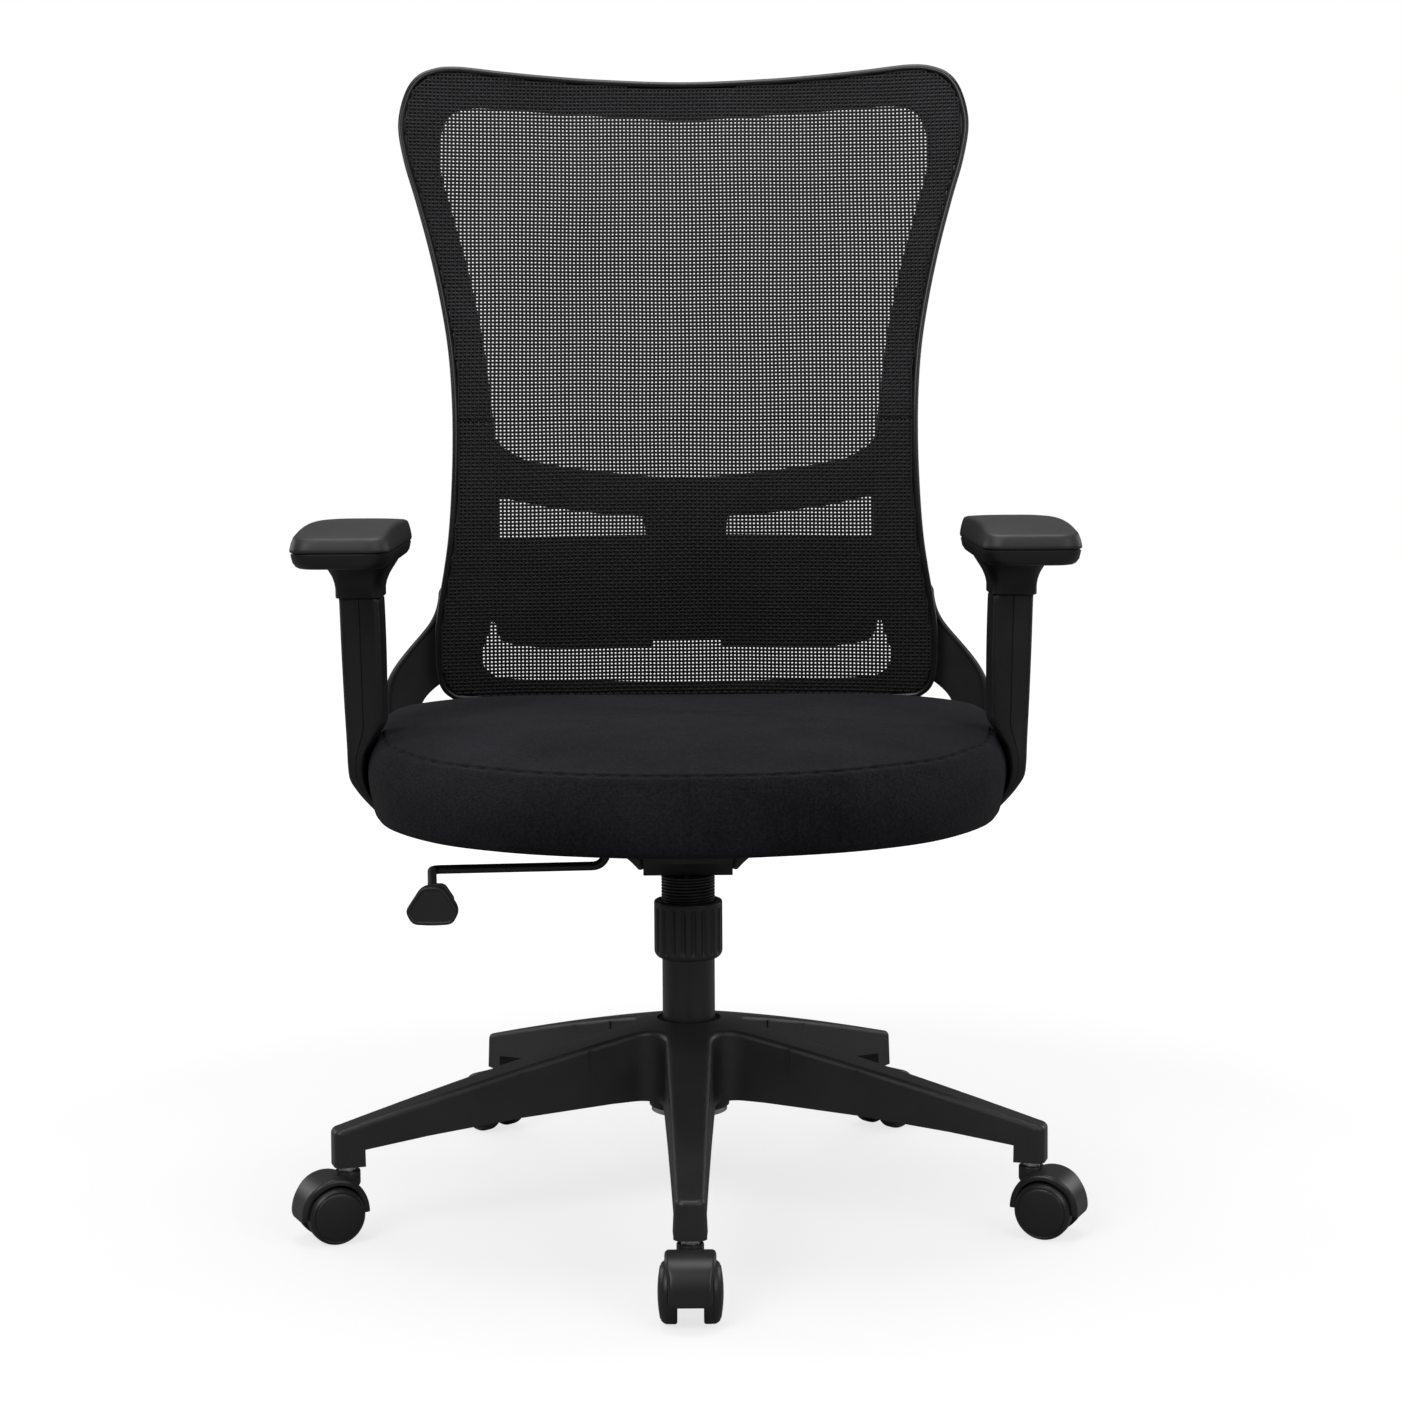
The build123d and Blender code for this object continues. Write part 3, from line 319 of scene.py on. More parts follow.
def makeClothWeave():
    # woven cloth on the piece's own UV map, in metres: two sets of rounded yarns, |sin u| and |sin v|, pass
    # over each other in turn by over = (1 + sin((u + v) / 2)) / 2, with fuzz; the same yarn profile is put
    # out as the mask for painted shade, darker in the gaps between yarns and where a yarn passes under
    group, given, made, calc, noise = newGroup(
        "clothWeave", {"Yarns per Metre": 1100.0, "Fuzz": 0.5}, ["Height", "Yarn Shade Mask", "Patch"])
    place = addNode(group, "TexCoord", {}).outputs
    split = addNode(group, "SeparateXYZ", {0: place["UV"]}).outputs
    turn = calc("MULTIPLY", given["Yarns per Metre"], math.pi)
    u, v = (calc("MULTIPLY", split[axis], turn) for axis in ("X", "Y"))
    across, along = (calc("ABSOLUTE", calc("SINE", angle)) for angle in (u, v))
    over = calc("SINE", calc("MULTIPLY", calc("ADD", u, v), 0.5))
    over = calc("ADD", calc("MULTIPLY", over, 0.5), 0.5)
    under = calc("SUBTRACT", 1.0, over)
    yarn = calc("ADD", calc("MULTIPLY", across, over), calc("MULTIPLY", along, under))
    fuzz = calc("MULTIPLY", noise(place["Object"], 2600.0, 2.0), given["Fuzz"])
    cloud = calc("MULTIPLY", noise(place["Object"], 9.0, 5.0, 0.6), 0.4)
    mottle = calc("MULTIPLY", noise(place["Object"], 420.0, 4.0, 0.7), 0.6)
    group.links.new(calc("ADD", yarn, fuzz), made["Height"])
    group.links.new(yarn, made["Yarn Shade Mask"])
    group.links.new(calc("ADD", cloud, mottle), made["Patch"])
    return group


mouldGrain = makeMouldGrain()
clothWeave = makeClothWeave()
dustColour = (0.16, 0.155, 0.15)


def newMaterial(name, values):
    # a material whose Principled shader gets the given uniform values
    material = bpy.data.materials.new(name)
    material.use_nodes = True
    tree = material.node_tree
    shader = tree.nodes["Principled BSDF"]
    for label, value in values.items():
        shader.inputs[label].default_value = value
    return material, tree, shader


def dress(tree, shader, colour, rough, height, depth):
    # links what varies over the surface: colour, roughness and a bump of "depth" metres
    bump = addNode(tree, "Bump", {"Distance": depth, "Strength": 1.0, "Height": height})
    for label, output in (("Base Color", colour), ("Roughness", rough), ("Normal", bump.outputs[0])):
        tree.links.new(output, shader.inputs[label])


def hardMaterial(name, colour, rough, grain, depth, dust=0.12, metal=0.0, coat=0.0, specular=0.5):
    material, tree, shader = newMaterial(name, {
        "Metallic": metal, "Coat Weight": coat, "Coat Roughness": 0.2, "Specular IOR Level": specular})
    grained = addNode(tree, "Group", {"Grain Scale": grain, "Dust": dust}, node_tree=mouldGrain).outputs
    light = tuple(min(1, c * 1.25 + 0.002) for c in colour)
    shade = mixColour(tree, ranged(tree, grained["Patch"], 0.0, 1.0), colour, light)
    shade = mixColour(tree, grained["Dust"], shade, dustColour)
    dull = ranged(tree, grained["Patch"], rough - 0.05, rough + 0.05)
    dress(tree, shader, shade, dull, grained["Height"], depth)
    return material


def clothMaterial(name, colour, light, yarns, fuzz, depth, sheen, rough=0.85):
    material, tree, shader = newMaterial(name, {
        "Sheen Weight": sheen, "Sheen Roughness": 0.45, "Sheen Tint": (0.75, 0.77, 0.85, 1),
        "Specular IOR Level": 0.18})
    woven = addNode(tree, "Group", {"Yarns per Metre": yarns, "Fuzz": fuzz}, node_tree=clothWeave).outputs
    # painted shade: the gaps between yarns and the yarns that pass under are painted at 0.45 of the yarn
    # colour
    gap = tuple(c * 0.45 for c in colour)
    yarn = mixColour(tree, ranged(tree, woven["Yarn Shade Mask"], 0.0, 1.0, 0.1, 1.0), gap, colour)
    shade = mixColour(tree, ranged(tree, woven["Patch"], 0.0, 1.0, 0.4, 0.62), yarn, light)
    dull = ranged(tree, woven["Patch"], rough + 0.06, rough - 0.06)
    dress(tree, shader, shade, dull, woven["Height"], depth)
    return material


# colour, roughness, grain scale, grain depth in metres, then what differs from the usual
hardFinishes = {
    "baseNylon": ((0.0155, 0.0155, 0.0165), 0.44, 1500, 0.00004, {}),
    "casterNylon": ((0.012, 0.012, 0.013), 0.36, 1800, 0.00002, {}),
    "wheelPlastic": ((0.011, 0.011, 0.012), 0.4, 1600, 0.00003, {}),
    "armPlastic": ((0.009, 0.009, 0.0098), 0.44, 1500, 0.00004, {"specular": 0.36}),
    "padSkin": ((0.015, 0.015, 0.016), 0.5, 1000, 0.00007, {"dust": 0.2}),
    "frameNylon": ((0.0155, 0.0155, 0.0168), 0.38, 1500, 0.00003, {}),
    "beadGloss": ((0.008, 0.008, 0.0088), 0.26, 900, 0.00001, {"dust": 0.05, "coat": 0.1, "specular": 0.35}),
    "knobPlastic": ((0.021, 0.021, 0.022), 0.4, 1500, 0.00003, {"specular": 0.4}),
    "blackPaint": ((0.012, 0.012, 0.013), 0.36, 700, 0.00005, {}),
    "tubeLacquer": ((0.019, 0.019, 0.020), 0.33, 500, 0.00002, {}),
    "springSteel": ((0.02, 0.02, 0.021), 0.34, 900, 0.00002, {"metal": 0.4}),
    "brightSteel": ((0.5, 0.5, 0.51), 0.24, 2000, 0.00001, {"metal": 1.0, "dust": 0.05}),
    "rubber": ((0.014, 0.014, 0.014), 0.7, 1200, 0.00005, {}),
    "acetal": ((0.03, 0.03, 0.03), 0.35, 1400, 0.00003, {}),
}
# yarn colour, colour of worn patches, yarns per metre, fuzz, depth in metres, sheen, roughness
clothFinishes = {
    "seatCloth": ((0.0025, 0.0025, 0.0033), (0.0125, 0.0128, 0.017), 900.0, 0.9, 0.00022, 0.02),
    "netYarn": ((0.0165, 0.0165, 0.0185), (0.024, 0.024, 0.0265), 2400.0, 0.8, 0.00004, 0.04, 0.6),
    "dustCover": ((0.012, 0.012, 0.013), (0.018, 0.018, 0.02), 700.0, 0.9, 0.0001, 0.05),
}
finish = {name: hardMaterial(name, *row[:4], **row[4]) for name, row in hardFinishes.items()}
finish.update({name: clothMaterial(name, *row) for name, row in clothFinishes.items()})
print("finishes made:", len(finish))


# floor, lamps and camera

lamps = {
    # place, size, power, aim
    "keyLamp": ((-1.5, -2.1, 2.4), 1.6, 38.0, (0, 0, 0.5)),
    "fillLamp": ((1.8, -1.9, 1.9), 1.8, 22.0, (0, 0, 0.5)),
    "topLamp": ((0.0, 0.2, 2.7), 1.8, 36.0, (0, 0, 0.5)),
    "rimLampLeft": ((-2.0, 1.1, 1.0), 1.0, 8.0, (0, 0, 0.6)),
    "rimLampRight": ((2.0, 1.1, 1.0), 1.0, 8.0, (0, 0, 0.6)),
}
studio = {
    "reach": 9.0, "columns": 41, "floorColour": (0.28, 0.28, 0.28, 1), "floorGlow": 0.75, "glowFrom": 0.7,
    "glowTo": 1.7, "worldLight": 0.14,
}
view = {"place": (0, -2.457, 0.731), "pitch": 6.388, "yaw": 0.29, "roll": 0.316, "lens": 71.6}


def makeLamp(name, place, size, power, aim):
    lamp = bpy.data.lights.new(name, "AREA")
    lamp.shape = "SQUARE"
    lamp.size = size
    lamp.energy = power
    away = (Vector(place) - Vector(aim)).to_track_quat("Z", "Y")
    placed(name, lamp).matrix_world = Matrix.Translation(place) @ away.to_matrix().to_4x4()


def makeFloor(v):
    # a wide sheet, bright to the camera but still shaded by the chair; further out it turns plain white
    grid = np.linspace(-v["reach"], v["reach"], v["columns"])
    x, y = np.meshgrid(grid, grid, indexing="ij")
    points = np.stack([x, y, np.zeros_like(x)], -1).reshape(-1, 3)
    mesh = bpy.data.meshes.new("floor")
    mesh.from_pydata(points.tolist(), [], gridFaces(v["columns"], v["columns"]).tolist())
    floor = placed("floor", mesh)
    material, tree, shader = newMaterial("paleFloor", {
        "Base Color": v["floorColour"], "Roughness": 0.6, "Specular IOR Level": 0.1,
        "Emission Color": (1, 1, 1, 1)})
    place = addNode(tree, "TexCoord", {}).outputs["Object"]
    away = addNode(tree, "VectorMath", {0: place}, operation="LENGTH").outputs["Value"]
    glow = ranged(tree, away, v["floorGlow"], 1.0, v["glowFrom"], v["glowTo"])
    seen = addNode(tree, "LightPath", {}).outputs["Is Camera Ray"]
    tree.links.new(mathNode(tree, "MULTIPLY", seen, glow), shader.inputs["Emission Strength"])
    mesh.materials.append(material)


def makeWorld(v):
    # white where it is seen, dim as a light
    world = bpy.data.worlds.new("studioWorld")
    scene.world = world
    world.use_nodes = True
    tree = world.node_tree
    back = tree.nodes["Background"].inputs
    back["Color"].default_value = (1, 1, 1, 1)
    path = addNode(tree, "LightPath", {}).outputs
    seen = mathNode(tree, "MAXIMUM", path["Is Camera Ray"], path["Is Transmission Ray"])
    extra = mathNode(tree, "MULTIPLY", seen, 1.0 - v["worldLight"])
    tree.links.new(mathNode(tree, "ADD", extra, v["worldLight"]), back["Strength"])
    scene.view_settings.view_transform = "Standard"


def makeCamera(v):
    # tipped down by the pitch, turned about the vertical by the yaw and rolled about its own line of sight
    pitch, yaw, roll = (math.radians(v[key]) for key in ("pitch", "yaw", "roll"))
    turn = Matrix.Rotation(-yaw, 4, "Z") @ Matrix.Rotation(math.pi / 2 - pitch, 4, "X")
    lens = bpy.data.cameras.new("camera")
    lens.lens = v["lens"]
    lens.sensor_width = 36
    camera = placed("camera", lens)
    camera.matrix_world = Matrix.Translation(v["place"]) @ turn @ Matrix.Rotation(-roll, 4, "Z")
    scene.camera = camera


for lampName, lampValues in lamps.items():
    makeLamp(lampName, *lampValues)
makeFloor(studio)
makeWorld(studio)
makeCamera(view)
print("studio and camera set")


# seat cushion

seat = {
    # right half of the seam and of the lower edge, from the middle of the front to the middle of the rear
    "seam": [(0, -247), (54, -243), (113, -227), (169, -191), (215, -147), (258, -66), (273, 12), (279, 60),
             (280, 102), (278, 150), (264, 196), (236, 221), (181, 230), (84, 232), (0, 232)],
    "lower": [(0, -266), (48, -262), (112, -245), (160, -222), (205, -187), (242, -136), (264, -84),
              (278, -12), (280.5, 60), (280.5, 102), (278, 150), (262, 196), (234, 220), (180, 228),
              (84, 230), (0, 230)],
    # growth and height of the rows that round the lower edge
    "edge": [(-9, 0), (-5.6, 0.1), (-2.8, 1.4), (-0.9, 4), (0, 7)],
    "low": 358, "seamHeight": 424, "crown": 442, "rearLift": 8, "swell": 4.4, "sideSwell": 4.6,
    "frontDrop": 6.5, "dish": 2.0, "dishWide": 150, "dishDeep": 120, "dishBack": 40,
    "columns": 480, "middle": (0, 10),
    "seamDepth": 2.4, "seamWidth": 2.0, "stitchPitch": 4.2,
    "cloth": {"quality": 4, "mass": 0.4, "tension_stiffness": 60, "compression_stiffness": 60,
              "bending_stiffness": 4, "use_pressure": True, "uniform_pressure_force": 2.0},
    "most": 0.006, "steps": 14, "heldRows": 8,
}


def seatRows(v):
    # rows from the underside's middle out, up the side band, over the seam and in to the crown: each is
    # (share kept towards the middle, growth in mm, height, signed distance from the seam: minus below it)
    low, high = v["low"], v["seamHeight"]
    band = high - low - 7
    under = [(k, -9, low, -200) for k in (0.3, 0.65, 0.94)]
    under += [(1, growth, low + h, h - high + low) for growth, h in v["edge"]]
    down = np.concatenate([np.linspace(band, 9, 15)[1:], [6.5, 4.6, 3.2, 2.2, 1.4, 0.7, 0]])
    s = 1 - down / band
    swell = v["swell"] * np.sin(np.pi * s**1.5).clip(0) ** 0.85
    side = np.stack([np.ones_like(s), swell, high - down, -down], -1)
    inward = np.concatenate([[0.7, 1.4, 2.2, 3.2, 4.6, 6.5, 9], np.geomspace(13, 244, 24)])
    k = 1 - inward / 250
    top = np.stack([k, 0 * k, high + (v["crown"] - high) * (1 - k**3.4), inward], -1)
    return np.vstack([under, side, top])


def seatGrid(v):
    # point(row, t) = middle + share * (shape(t) - middle) + growth * outward normal, at the row's height; the
    # shape turns from the lower outline to the seam's outline on the way up the side band
    middle = np.array(v["middle"], float)
    outline, lower = (polarLoop(bothSides(v[key]), middle, v["columns"]) for key in ("seam", "lower"))
    normal = loopSide(outline)
    rows = seatRows(v)
    low, high = v["low"], v["seamHeight"]
    rise = smoothstep(rows[:, 2], low + 8, high + 6)[:, None, None]
    rise = (rise / rise[rows[:, 3] == 0].max()).clip(0, 1)
    shape = lower[None] * (1 - rise) + outline[None] * rise
    fuller = rows[:, 1].clip(0)[:, None] * v["sideSwell"] / v["swell"] * normal[None, :, 0] ** 2
    growth = (rows[:, 1, None] + fuller)[..., None] * normal[None]
    flat = middle + rows[:, 0, None, None] * (shape - middle) + growth
    x, y = flat[..., 0], flat[..., 1]
    # the front of the crown drops in a waterfall and the middle is dished by the sitter
    dish = np.exp(-((x / v["dishWide"]) ** 2 + ((y - v["dishBack"]) / v["dishDeep"]) ** 2))
    drop = v["frontDrop"] * smoothstep(-y, 110, 255) + v["dish"] * dish
    above = rows[:, 3, None] > 0
    z = rows[:, 2, None] - np.where(above, drop * (1 - rows[:, 0, None] ** 6), 0)
    # the whole top rises evenly towards the back
    share = ((rows[:, 2, None] - low - 7) / (high - low - 7)).clip(0, 1)
    z = z + v["rearLift"] * ((y + 150) / 315).clip(0, 1) * share
    return np.dstack([flat, z]), rows, outline, normal


def filledOut(piece, held, v):
    # a short cloth run with air pressure inside: the cover fills out between its held rows, by "most" at most
    group = piece.vertex_groups.new(name="held")
    index = np.arange(len(held))
    for level in np.unique(held[held > 0]):
        group.add(index[held == level].tolist(), float(level), "REPLACE")
    rest = np.empty(len(piece.data.vertices) * 3, np.float32)
    piece.data.vertices.foreach_get("co", rest)
    cloth = piece.modifiers.new("cloth", "CLOTH")
    settings = cloth.settings
    for key, value in v["cloth"].items():
        setattr(settings, key, value)
    settings.vertex_group_mass = "held"
    settings.effector_weights.gravity = 0
    cloth.collision_settings.use_collision = False
    for step in range(1, v["steps"] + 1):
        scene.frame_set(step)
    shape = piece.evaluated_get(bpy.context.evaluated_depsgraph_get())
    moved = np.empty_like(rest)
    shape.data.vertices.foreach_get("co", moved)
    piece.modifiers.remove(cloth)
    scene.frame_set(1)
    shift = (moved - rest).reshape(-1, 3)
    shift *= np.minimum(1, v["most"] / np.maximum(np.linalg.norm(shift, axis=1)[:, None], 1e-9))
    print("cushion filled out by up to %.1f mm" % (np.linalg.norm(shift, axis=1).max() / mm))
    return rest.reshape(-1, 3) + shift


def makeSeat(v):
    grid, rows, outline, normal = seatGrid(v)
    points, faces = tube(grid)
    # UV in metres: length round the outline and up the side band, then plain plan coordinates on the panels
    arc = np.concatenate([[0], np.cumsum(np.linalg.norm(np.diff(outline, axis=0), axis=1))])
    band = ((rows[:, 0] == 1) & (rows[:, 3] <= 0))[:, None]
    along = np.where(band, arc[None, :], grid[..., 0] + 900)
    up = np.where(band, rows[:, 2, None], grid[..., 1])
    uv = np.vstack([np.stack([along, up], -1).reshape(-1, 2), [[900, 10], [900, 10]]]) * mm
    piece = meshPiece("seatCushion", points, faces, "seatCloth", "seat", sharp=0, uv=uv)
    place = points * mm
    rowOf = np.concatenate([np.repeat(np.arange(len(rows)), v["columns"]), [0, len(rows) - 1]])
    seamHeld = np.where(np.abs(rows[rowOf, 3]) < 1, 0.9, 0.0)
    place = filledOut(piece, np.where(rowOf < v["heldRows"], 1.0, seamHeld), v)
    # seam: a narrow valley along the outline, drawn in and down, tighter at each stitch:
    # depth * exp(-(distance / width)^2) * (1 + 0.3 cos(2 pi length / pitch))
    stitch = 1 + 0.3 * np.cos(2 * np.pi * arc / v["stitchPitch"])
    valley = v["seamDepth"] * np.exp(-((rows[:, 3] / v["seamWidth"]) ** 2))[:, None] * stitch[None, :]
    draw = np.dstack([-0.75 * side[None] * valley for side in normal.T] + [-0.65 * valley])
    place[:-2] += draw.reshape(-1, 3) * mm
    piece.data.vertices.foreach_set("co", place.astype(np.float32).ravel())
    piece.data.update()
    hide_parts("seat_cushion")


makeSeat(seat)
print("seat cushion made")


# back: a surface that everything on it follows, and the frame

backSurface = {
    "side": [(335, 236), (430, 228), (520, 222), (600, 220), (700, 229), (800, 247), (900, 269), (1060, 311)],
    "wrap": 34, "halfWidth": 250,
}
sideLine = spline(backSurface["side"], 300)


def onBack(x, z, behind=0.0):
    # a point of the back at x, z, carried "behind" mm straight back from its front face:
    # y = side line at height z + wrap * (1 - (x / halfWidth)^2) + behind
    x, z, behind = np.broadcast_arrays(x, z, behind)
    side = np.interp(z, sideLine[:, 0], sideLine[:, 1])
    y = side + backSurface["wrap"] * (1 - (x / backSurface["halfWidth"]) ** 2)
    return np.stack([x, y + behind, z], -1)


back = {
    # right half of the outer and inner edge, from the middle of the top to the middle of the bottom
    "outer": [(0, 1031), (80, 1033.5), (128, 1036.5), (176, 1040.5), (205, 1043.5), (222, 1044.6),
              (240, 1043), (258, 1035), (270, 1017), (276, 986), (270.5, 951), (259, 912), (246, 864),
              (235.5, 816),
              (228, 769), (224.5, 722), (224, 675), (225.8, 627.5), (228.8, 590), (233, 561), (238, 533),
              (241.6, 509), (243, 488), (243, 466), (239, 446), (230, 435), (215, 430), (160, 428), (80, 427),
              (0, 427)],
    "inner": [(0, 993), (81, 997), (158, 1001.5), (197, 1004), (217.5, 1001.5), (231, 990), (237, 964),
              (234, 934), (228, 914), (218.5, 880), (210, 850), (202.5, 817), (196.5, 788), (190.7, 750),
              (187.5, 722), (184, 690), (181.5, 650), (180.5, 610), (181, 570), (184, 530), (191, 500),
              (198, 480), (197.5, 466), (190, 456), (170, 451), (84, 447.5), (0, 445.5)],
    "centre": (0, 735), "columns": 720,
    # the rim's section: mm in from the outer edge and mm behind the face, then the same from the inner edge
    "rear": [(0.3, 4.0), (0.6, 8.0), (1.8, 10.8), (4.0, 12.0), (8.0, 12.2), (12.0, 11.4)],
    "inside": [(12.0, 10.6), (7.0, 10.4), (3.0, 9.8), (1.0, 8.4), (0.2, 6.4), (0.2, 3.4), (1.0, 1.6),
               (2.6, 0.7), (6.0, 0.5)],
    "lip": [(12.0, 0.5), (8.4, 0.5), (7.2, 1.0), (6.4, 2.6), (5.2, 3.0), (2.0, 3.0), (0.8, 3.2)],
    "beadRadius": 3.1, "beadDeep": 3.0, "beadIn": 3.2, "beadBehind": 0.4,
    # crossbar: half length, then x and height of its upper and lower edges; the stem hangs down to stemLow
    "barHalf": 188, "barColumns": 181, "stemLow": 497, "stemHalf": (34, 41),
    "barTop": [(0, 645.7), (34, 647), (81.5, 652), (119.5, 657), (157.6, 664.6), (176.5, 676), (188, 690)],
    "barFoot": [(0, 606), (41, 607), (90, 611), (140, 618), (179, 627), (188, 632)],
    # its section: lower (0) or upper (1) edge, mm above that edge, mm behind the face
    "barSection": [(0, 3.0, 3.4), (0, 1.0, 1.6), (0, 3.4, 0.7), (1, -3.4, 0.7), (1, -1.0, 1.6),
                   (1, -0.2, 4.0), (1, -0.4, 8.6), (1, -2.6, 10.8), (0, 2.6, 10.8), (0, 0.4, 8.6)],
}


def makeRim(v, outer, inner):
    # P(t, j): the section laid across the strip between the outer and inner loops at angle t, put on the back
    gap = inner - outer
    width = np.linalg.norm(gap, axis=1)[:, None]
    rear, inside, lip = (np.array(v[key]) for key in ("rear", "inside", "lip"))
    nearOuter = [np.minimum(part[None, :, 0], 0.48 * width) for part in (rear, lip)]
    nearInner = np.maximum(width - inside[None, :, 0], 0.52 * width)
    across = np.hstack([nearOuter[0], nearInner, nearOuter[1]])
    flat = outer[:, None] + (gap / width)[:, None] * across[..., None]
    behind = np.concatenate([rear[:, 1], inside[:, 1], lip[:, 1]])
    return ring(onBack(flat[..., 0], flat[..., 1], behind[None, :]))


def makeCrossbar(v):
    # crossbar with the stem that hangs from its middle: columns across, sections closed round its edges
    t = np.linspace(-1, 1, v["barColumns"])
    x = v["barHalf"] * t - 1.2 * np.sin(2 * np.pi * t)
    # with some more where the stem's sides drop
    x = np.sort(np.concatenate([x, np.sign(np.linspace(-1, 1, 24)) * np.linspace(33, 43, 24)]))
    high, low = (np.interp(np.abs(x), *np.array(v[key]).T) for key in ("barTop", "barFoot"))
    low = low - (low - v["stemLow"]) * (1 - smoothstep(np.abs(x), *v["stemHalf"]))
    s = np.array(v["barSection"])
    z = low[:, None] * (1 - s[None, :, 0]) + high[:, None] * s[None, :, 0] + s[None, :, 1]
    return tube(onBack(np.repeat(x[:, None], len(s), 1), z, s[None, :, 2]))


def makeFrame(v):
    outer, inner = (polarLoop(bothSides(v[key]), v["centre"], v["columns"]) for key in ("outer", "inner"))
    points, faces = joined(makeRim(v, outer, inner), makeCrossbar(v))
    piece = meshPiece("backFrame", points, faces, "frameNylon", "seat", sharp=50)
    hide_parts("back_frame")
    # edging bead: a round strip along the outer loop, in front of the frame's lip
    side = loopSide(outer)
    across, deep = circle(1.0, 16).T
    middle = outer[:, None] + (-side * v["beadIn"])[:, None]
    flat = middle + side[:, None] * (v["beadRadius"] * across)[None, :, None]
    deep = v["beadBehind"] + v["beadDeep"] * deep
    points, faces = ring(onBack(flat[..., 0], flat[..., 1], deep[None, :]))
    meshPiece("backBead", points, faces, "beadGloss", "seat", sharp=0)


supportRim = {
    # (height, distance out from the middle) of the outer edge and (height, y) of the front edge
    "outer": [(402, 292.5), (420, 293.4), (435, 293.2), (449, 290.8), (457, 287.6), (465, 283), (475, 275.6),
              (486, 266.4), (497, 256.8), (507, 249), (518, 243.4), (530, 240.4), (541, 239.6)],
    "front": [(400, 229.5), (420, 228.5), (440, 227.5), (450, 227.6), (460, 228.7), (470, 230.4),
              (480, 232.3), (490, 234.1), (500, 235.5), (510, 236.5), (520, 236.9), (541, 237.2)],
    "wide": 6.4, "proud": 1.3, "thick": 14.6, "round": 2.2, "rows": 60, "columns": 40,
}


def makeSupportRims(v):
    # a raised rim along the outer edge of each back support: level rounded sections stacked up along the edge
    rows, columns = v["rows"], v["columns"]
    z = np.linspace(v["outer"][0][0], v["outer"][-1][0], rows)
    outer = np.interp(z, *spline(v["outer"], 400).T)
    front = np.interp(z, *np.array(v["front"], float).T)
    shrink = np.ones(rows)
    shrink[[0, -1]], shrink[[1, -2]] = 0.45, 0.8
    half, deep = v["wide"] / 2, (v["thick"] + v["proud"]) / 2
    section = roundRect(half, deep, v["round"], columns)
    middle = np.stack([half - outer, front - v["proud"] + deep], -1)
    grid = sections(zip(middle[:, None] + section[None] * shrink[:, None, None], z))
    points, faces = joined(tube(grid), tube(mirrorX(grid)))
    meshPiece("supportRims", points, faces, "frameNylon", "seat", sharp=40)


makeFrame(back)
makeSupportRims(supportRim)
print("back frame made")


# back: stretched net

net = {
    "across": 3.75, "up": 3.5, "width": 2.3, "thick": 0.5, "inset": 5.6, "front": -0.9,
    "sideYarns": 72, "rows": 176, "low": 428, "split": 700.0, "overlap": 2, "edgeColumns": 1440,
    # yarns sway slightly by "sway" of the waves below, as a net that was pulled over its frame does
    "sway": 0.6,
}


def yarnTubes(lines, valid, width, thick, flatAxis):
    # lines: (yarns, samples, 3) middle points; each yarn is a four-sided band, broken where valid is false
    n, m = lines.shape[:2]
    spread = np.zeros(3)
    spread[flatAxis] = width / 2
    deep = np.array([0, thick / 2, 0])
    corners = np.stack([lines + spread, lines - deep, lines - spread, lines + deep], 2)
    index = np.arange(n * m * 4).reshape(n, m, 4)
    run = valid[:, :-1] & valid[:, 1:]
    a, b = index[:, :-1][run], index[:, 1:][run]
    faces = np.stack([a, np.roll(a, -1, 1), np.roll(b, -1, 1), b], -1).reshape(-1, 4)
    before = np.pad(valid[:, :-1], ((0, 0), (1, 0)))
    after = np.pad(valid[:, 1:], ((0, 0), (0, 1)))
    heads = index[valid & ~before & after]
    tails = index[valid & ~after & before]
    used, faces = np.unique(np.vstack([faces, heads[:, ::-1], tails]), return_inverse=True)
    return corners.reshape(-1, 3)[used], faces.reshape(-1, 4)


def makeNet(v, shape):
    outer = polarLoop(bothSides(shape["outer"]), shape["centre"], v["edgeColumns"])
    reach = reachFrom(shape["centre"], outer - loopSide(outer) * v["inset"])
    i = np.arange(-v["sideYarns"], v["sideYarns"] + 1)
    j = np.arange(v["rows"])
    x, z = np.meshgrid(i * v["across"], v["low"] + j * v["up"], indexing="ij")
    sway = 0.5 * np.sin(x / 31 + 1.3 * np.sin(z / 57)) + 0.35 * np.sin(z / 23 + x / 90)
    sag = 0.45 * np.sin(x / 44 + z / 71) + 0.3 * np.sin(x / 17 + 2 * np.sin(z / 83))
    x, z = x + sway * v["sway"], z + sag * v["sway"]
    weave = (0.5 - (np.add.outer(np.arange(len(i)), j) % 2)) * v["thick"]
    # a crossing is kept where it is nearer to the centre than the net's edge in its direction
    right, above = x - shape["centre"][0], z - shape["centre"][1]
    valid = np.hypot(right, above) < reach(np.arctan2(right, above))
    warp, weft = (onBack(x, z, v["front"] + side * weave * 0.6) for side in (1, -1))
    upper = z[0] >= v["split"] - v["overlap"]
    lower = z[0] <= v["split"] + v["overlap"]
    for name, part in (("backNetUpper", upper), ("backNetLower", lower)):
        w = np.where(part)[0]
        warpPart = yarnTubes(warp[:, w], valid[:, w], v["width"], v["thick"], 0)
        weftPart = yarnTubes(weft[:, w].transpose(1, 0, 2), valid[:, w].T, v["width"], v["thick"], 2)
        points, faces = joined(warpPart, weftPart)
        uv = points[:, [0, 2]] * mm
        piece = meshPiece(name, points, faces, "netYarn", "seat", sharp=0, uv=uv)
        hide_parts("back_mesh")
        print(name, len(faces), "faces")


makeNet(net, back)


# arms

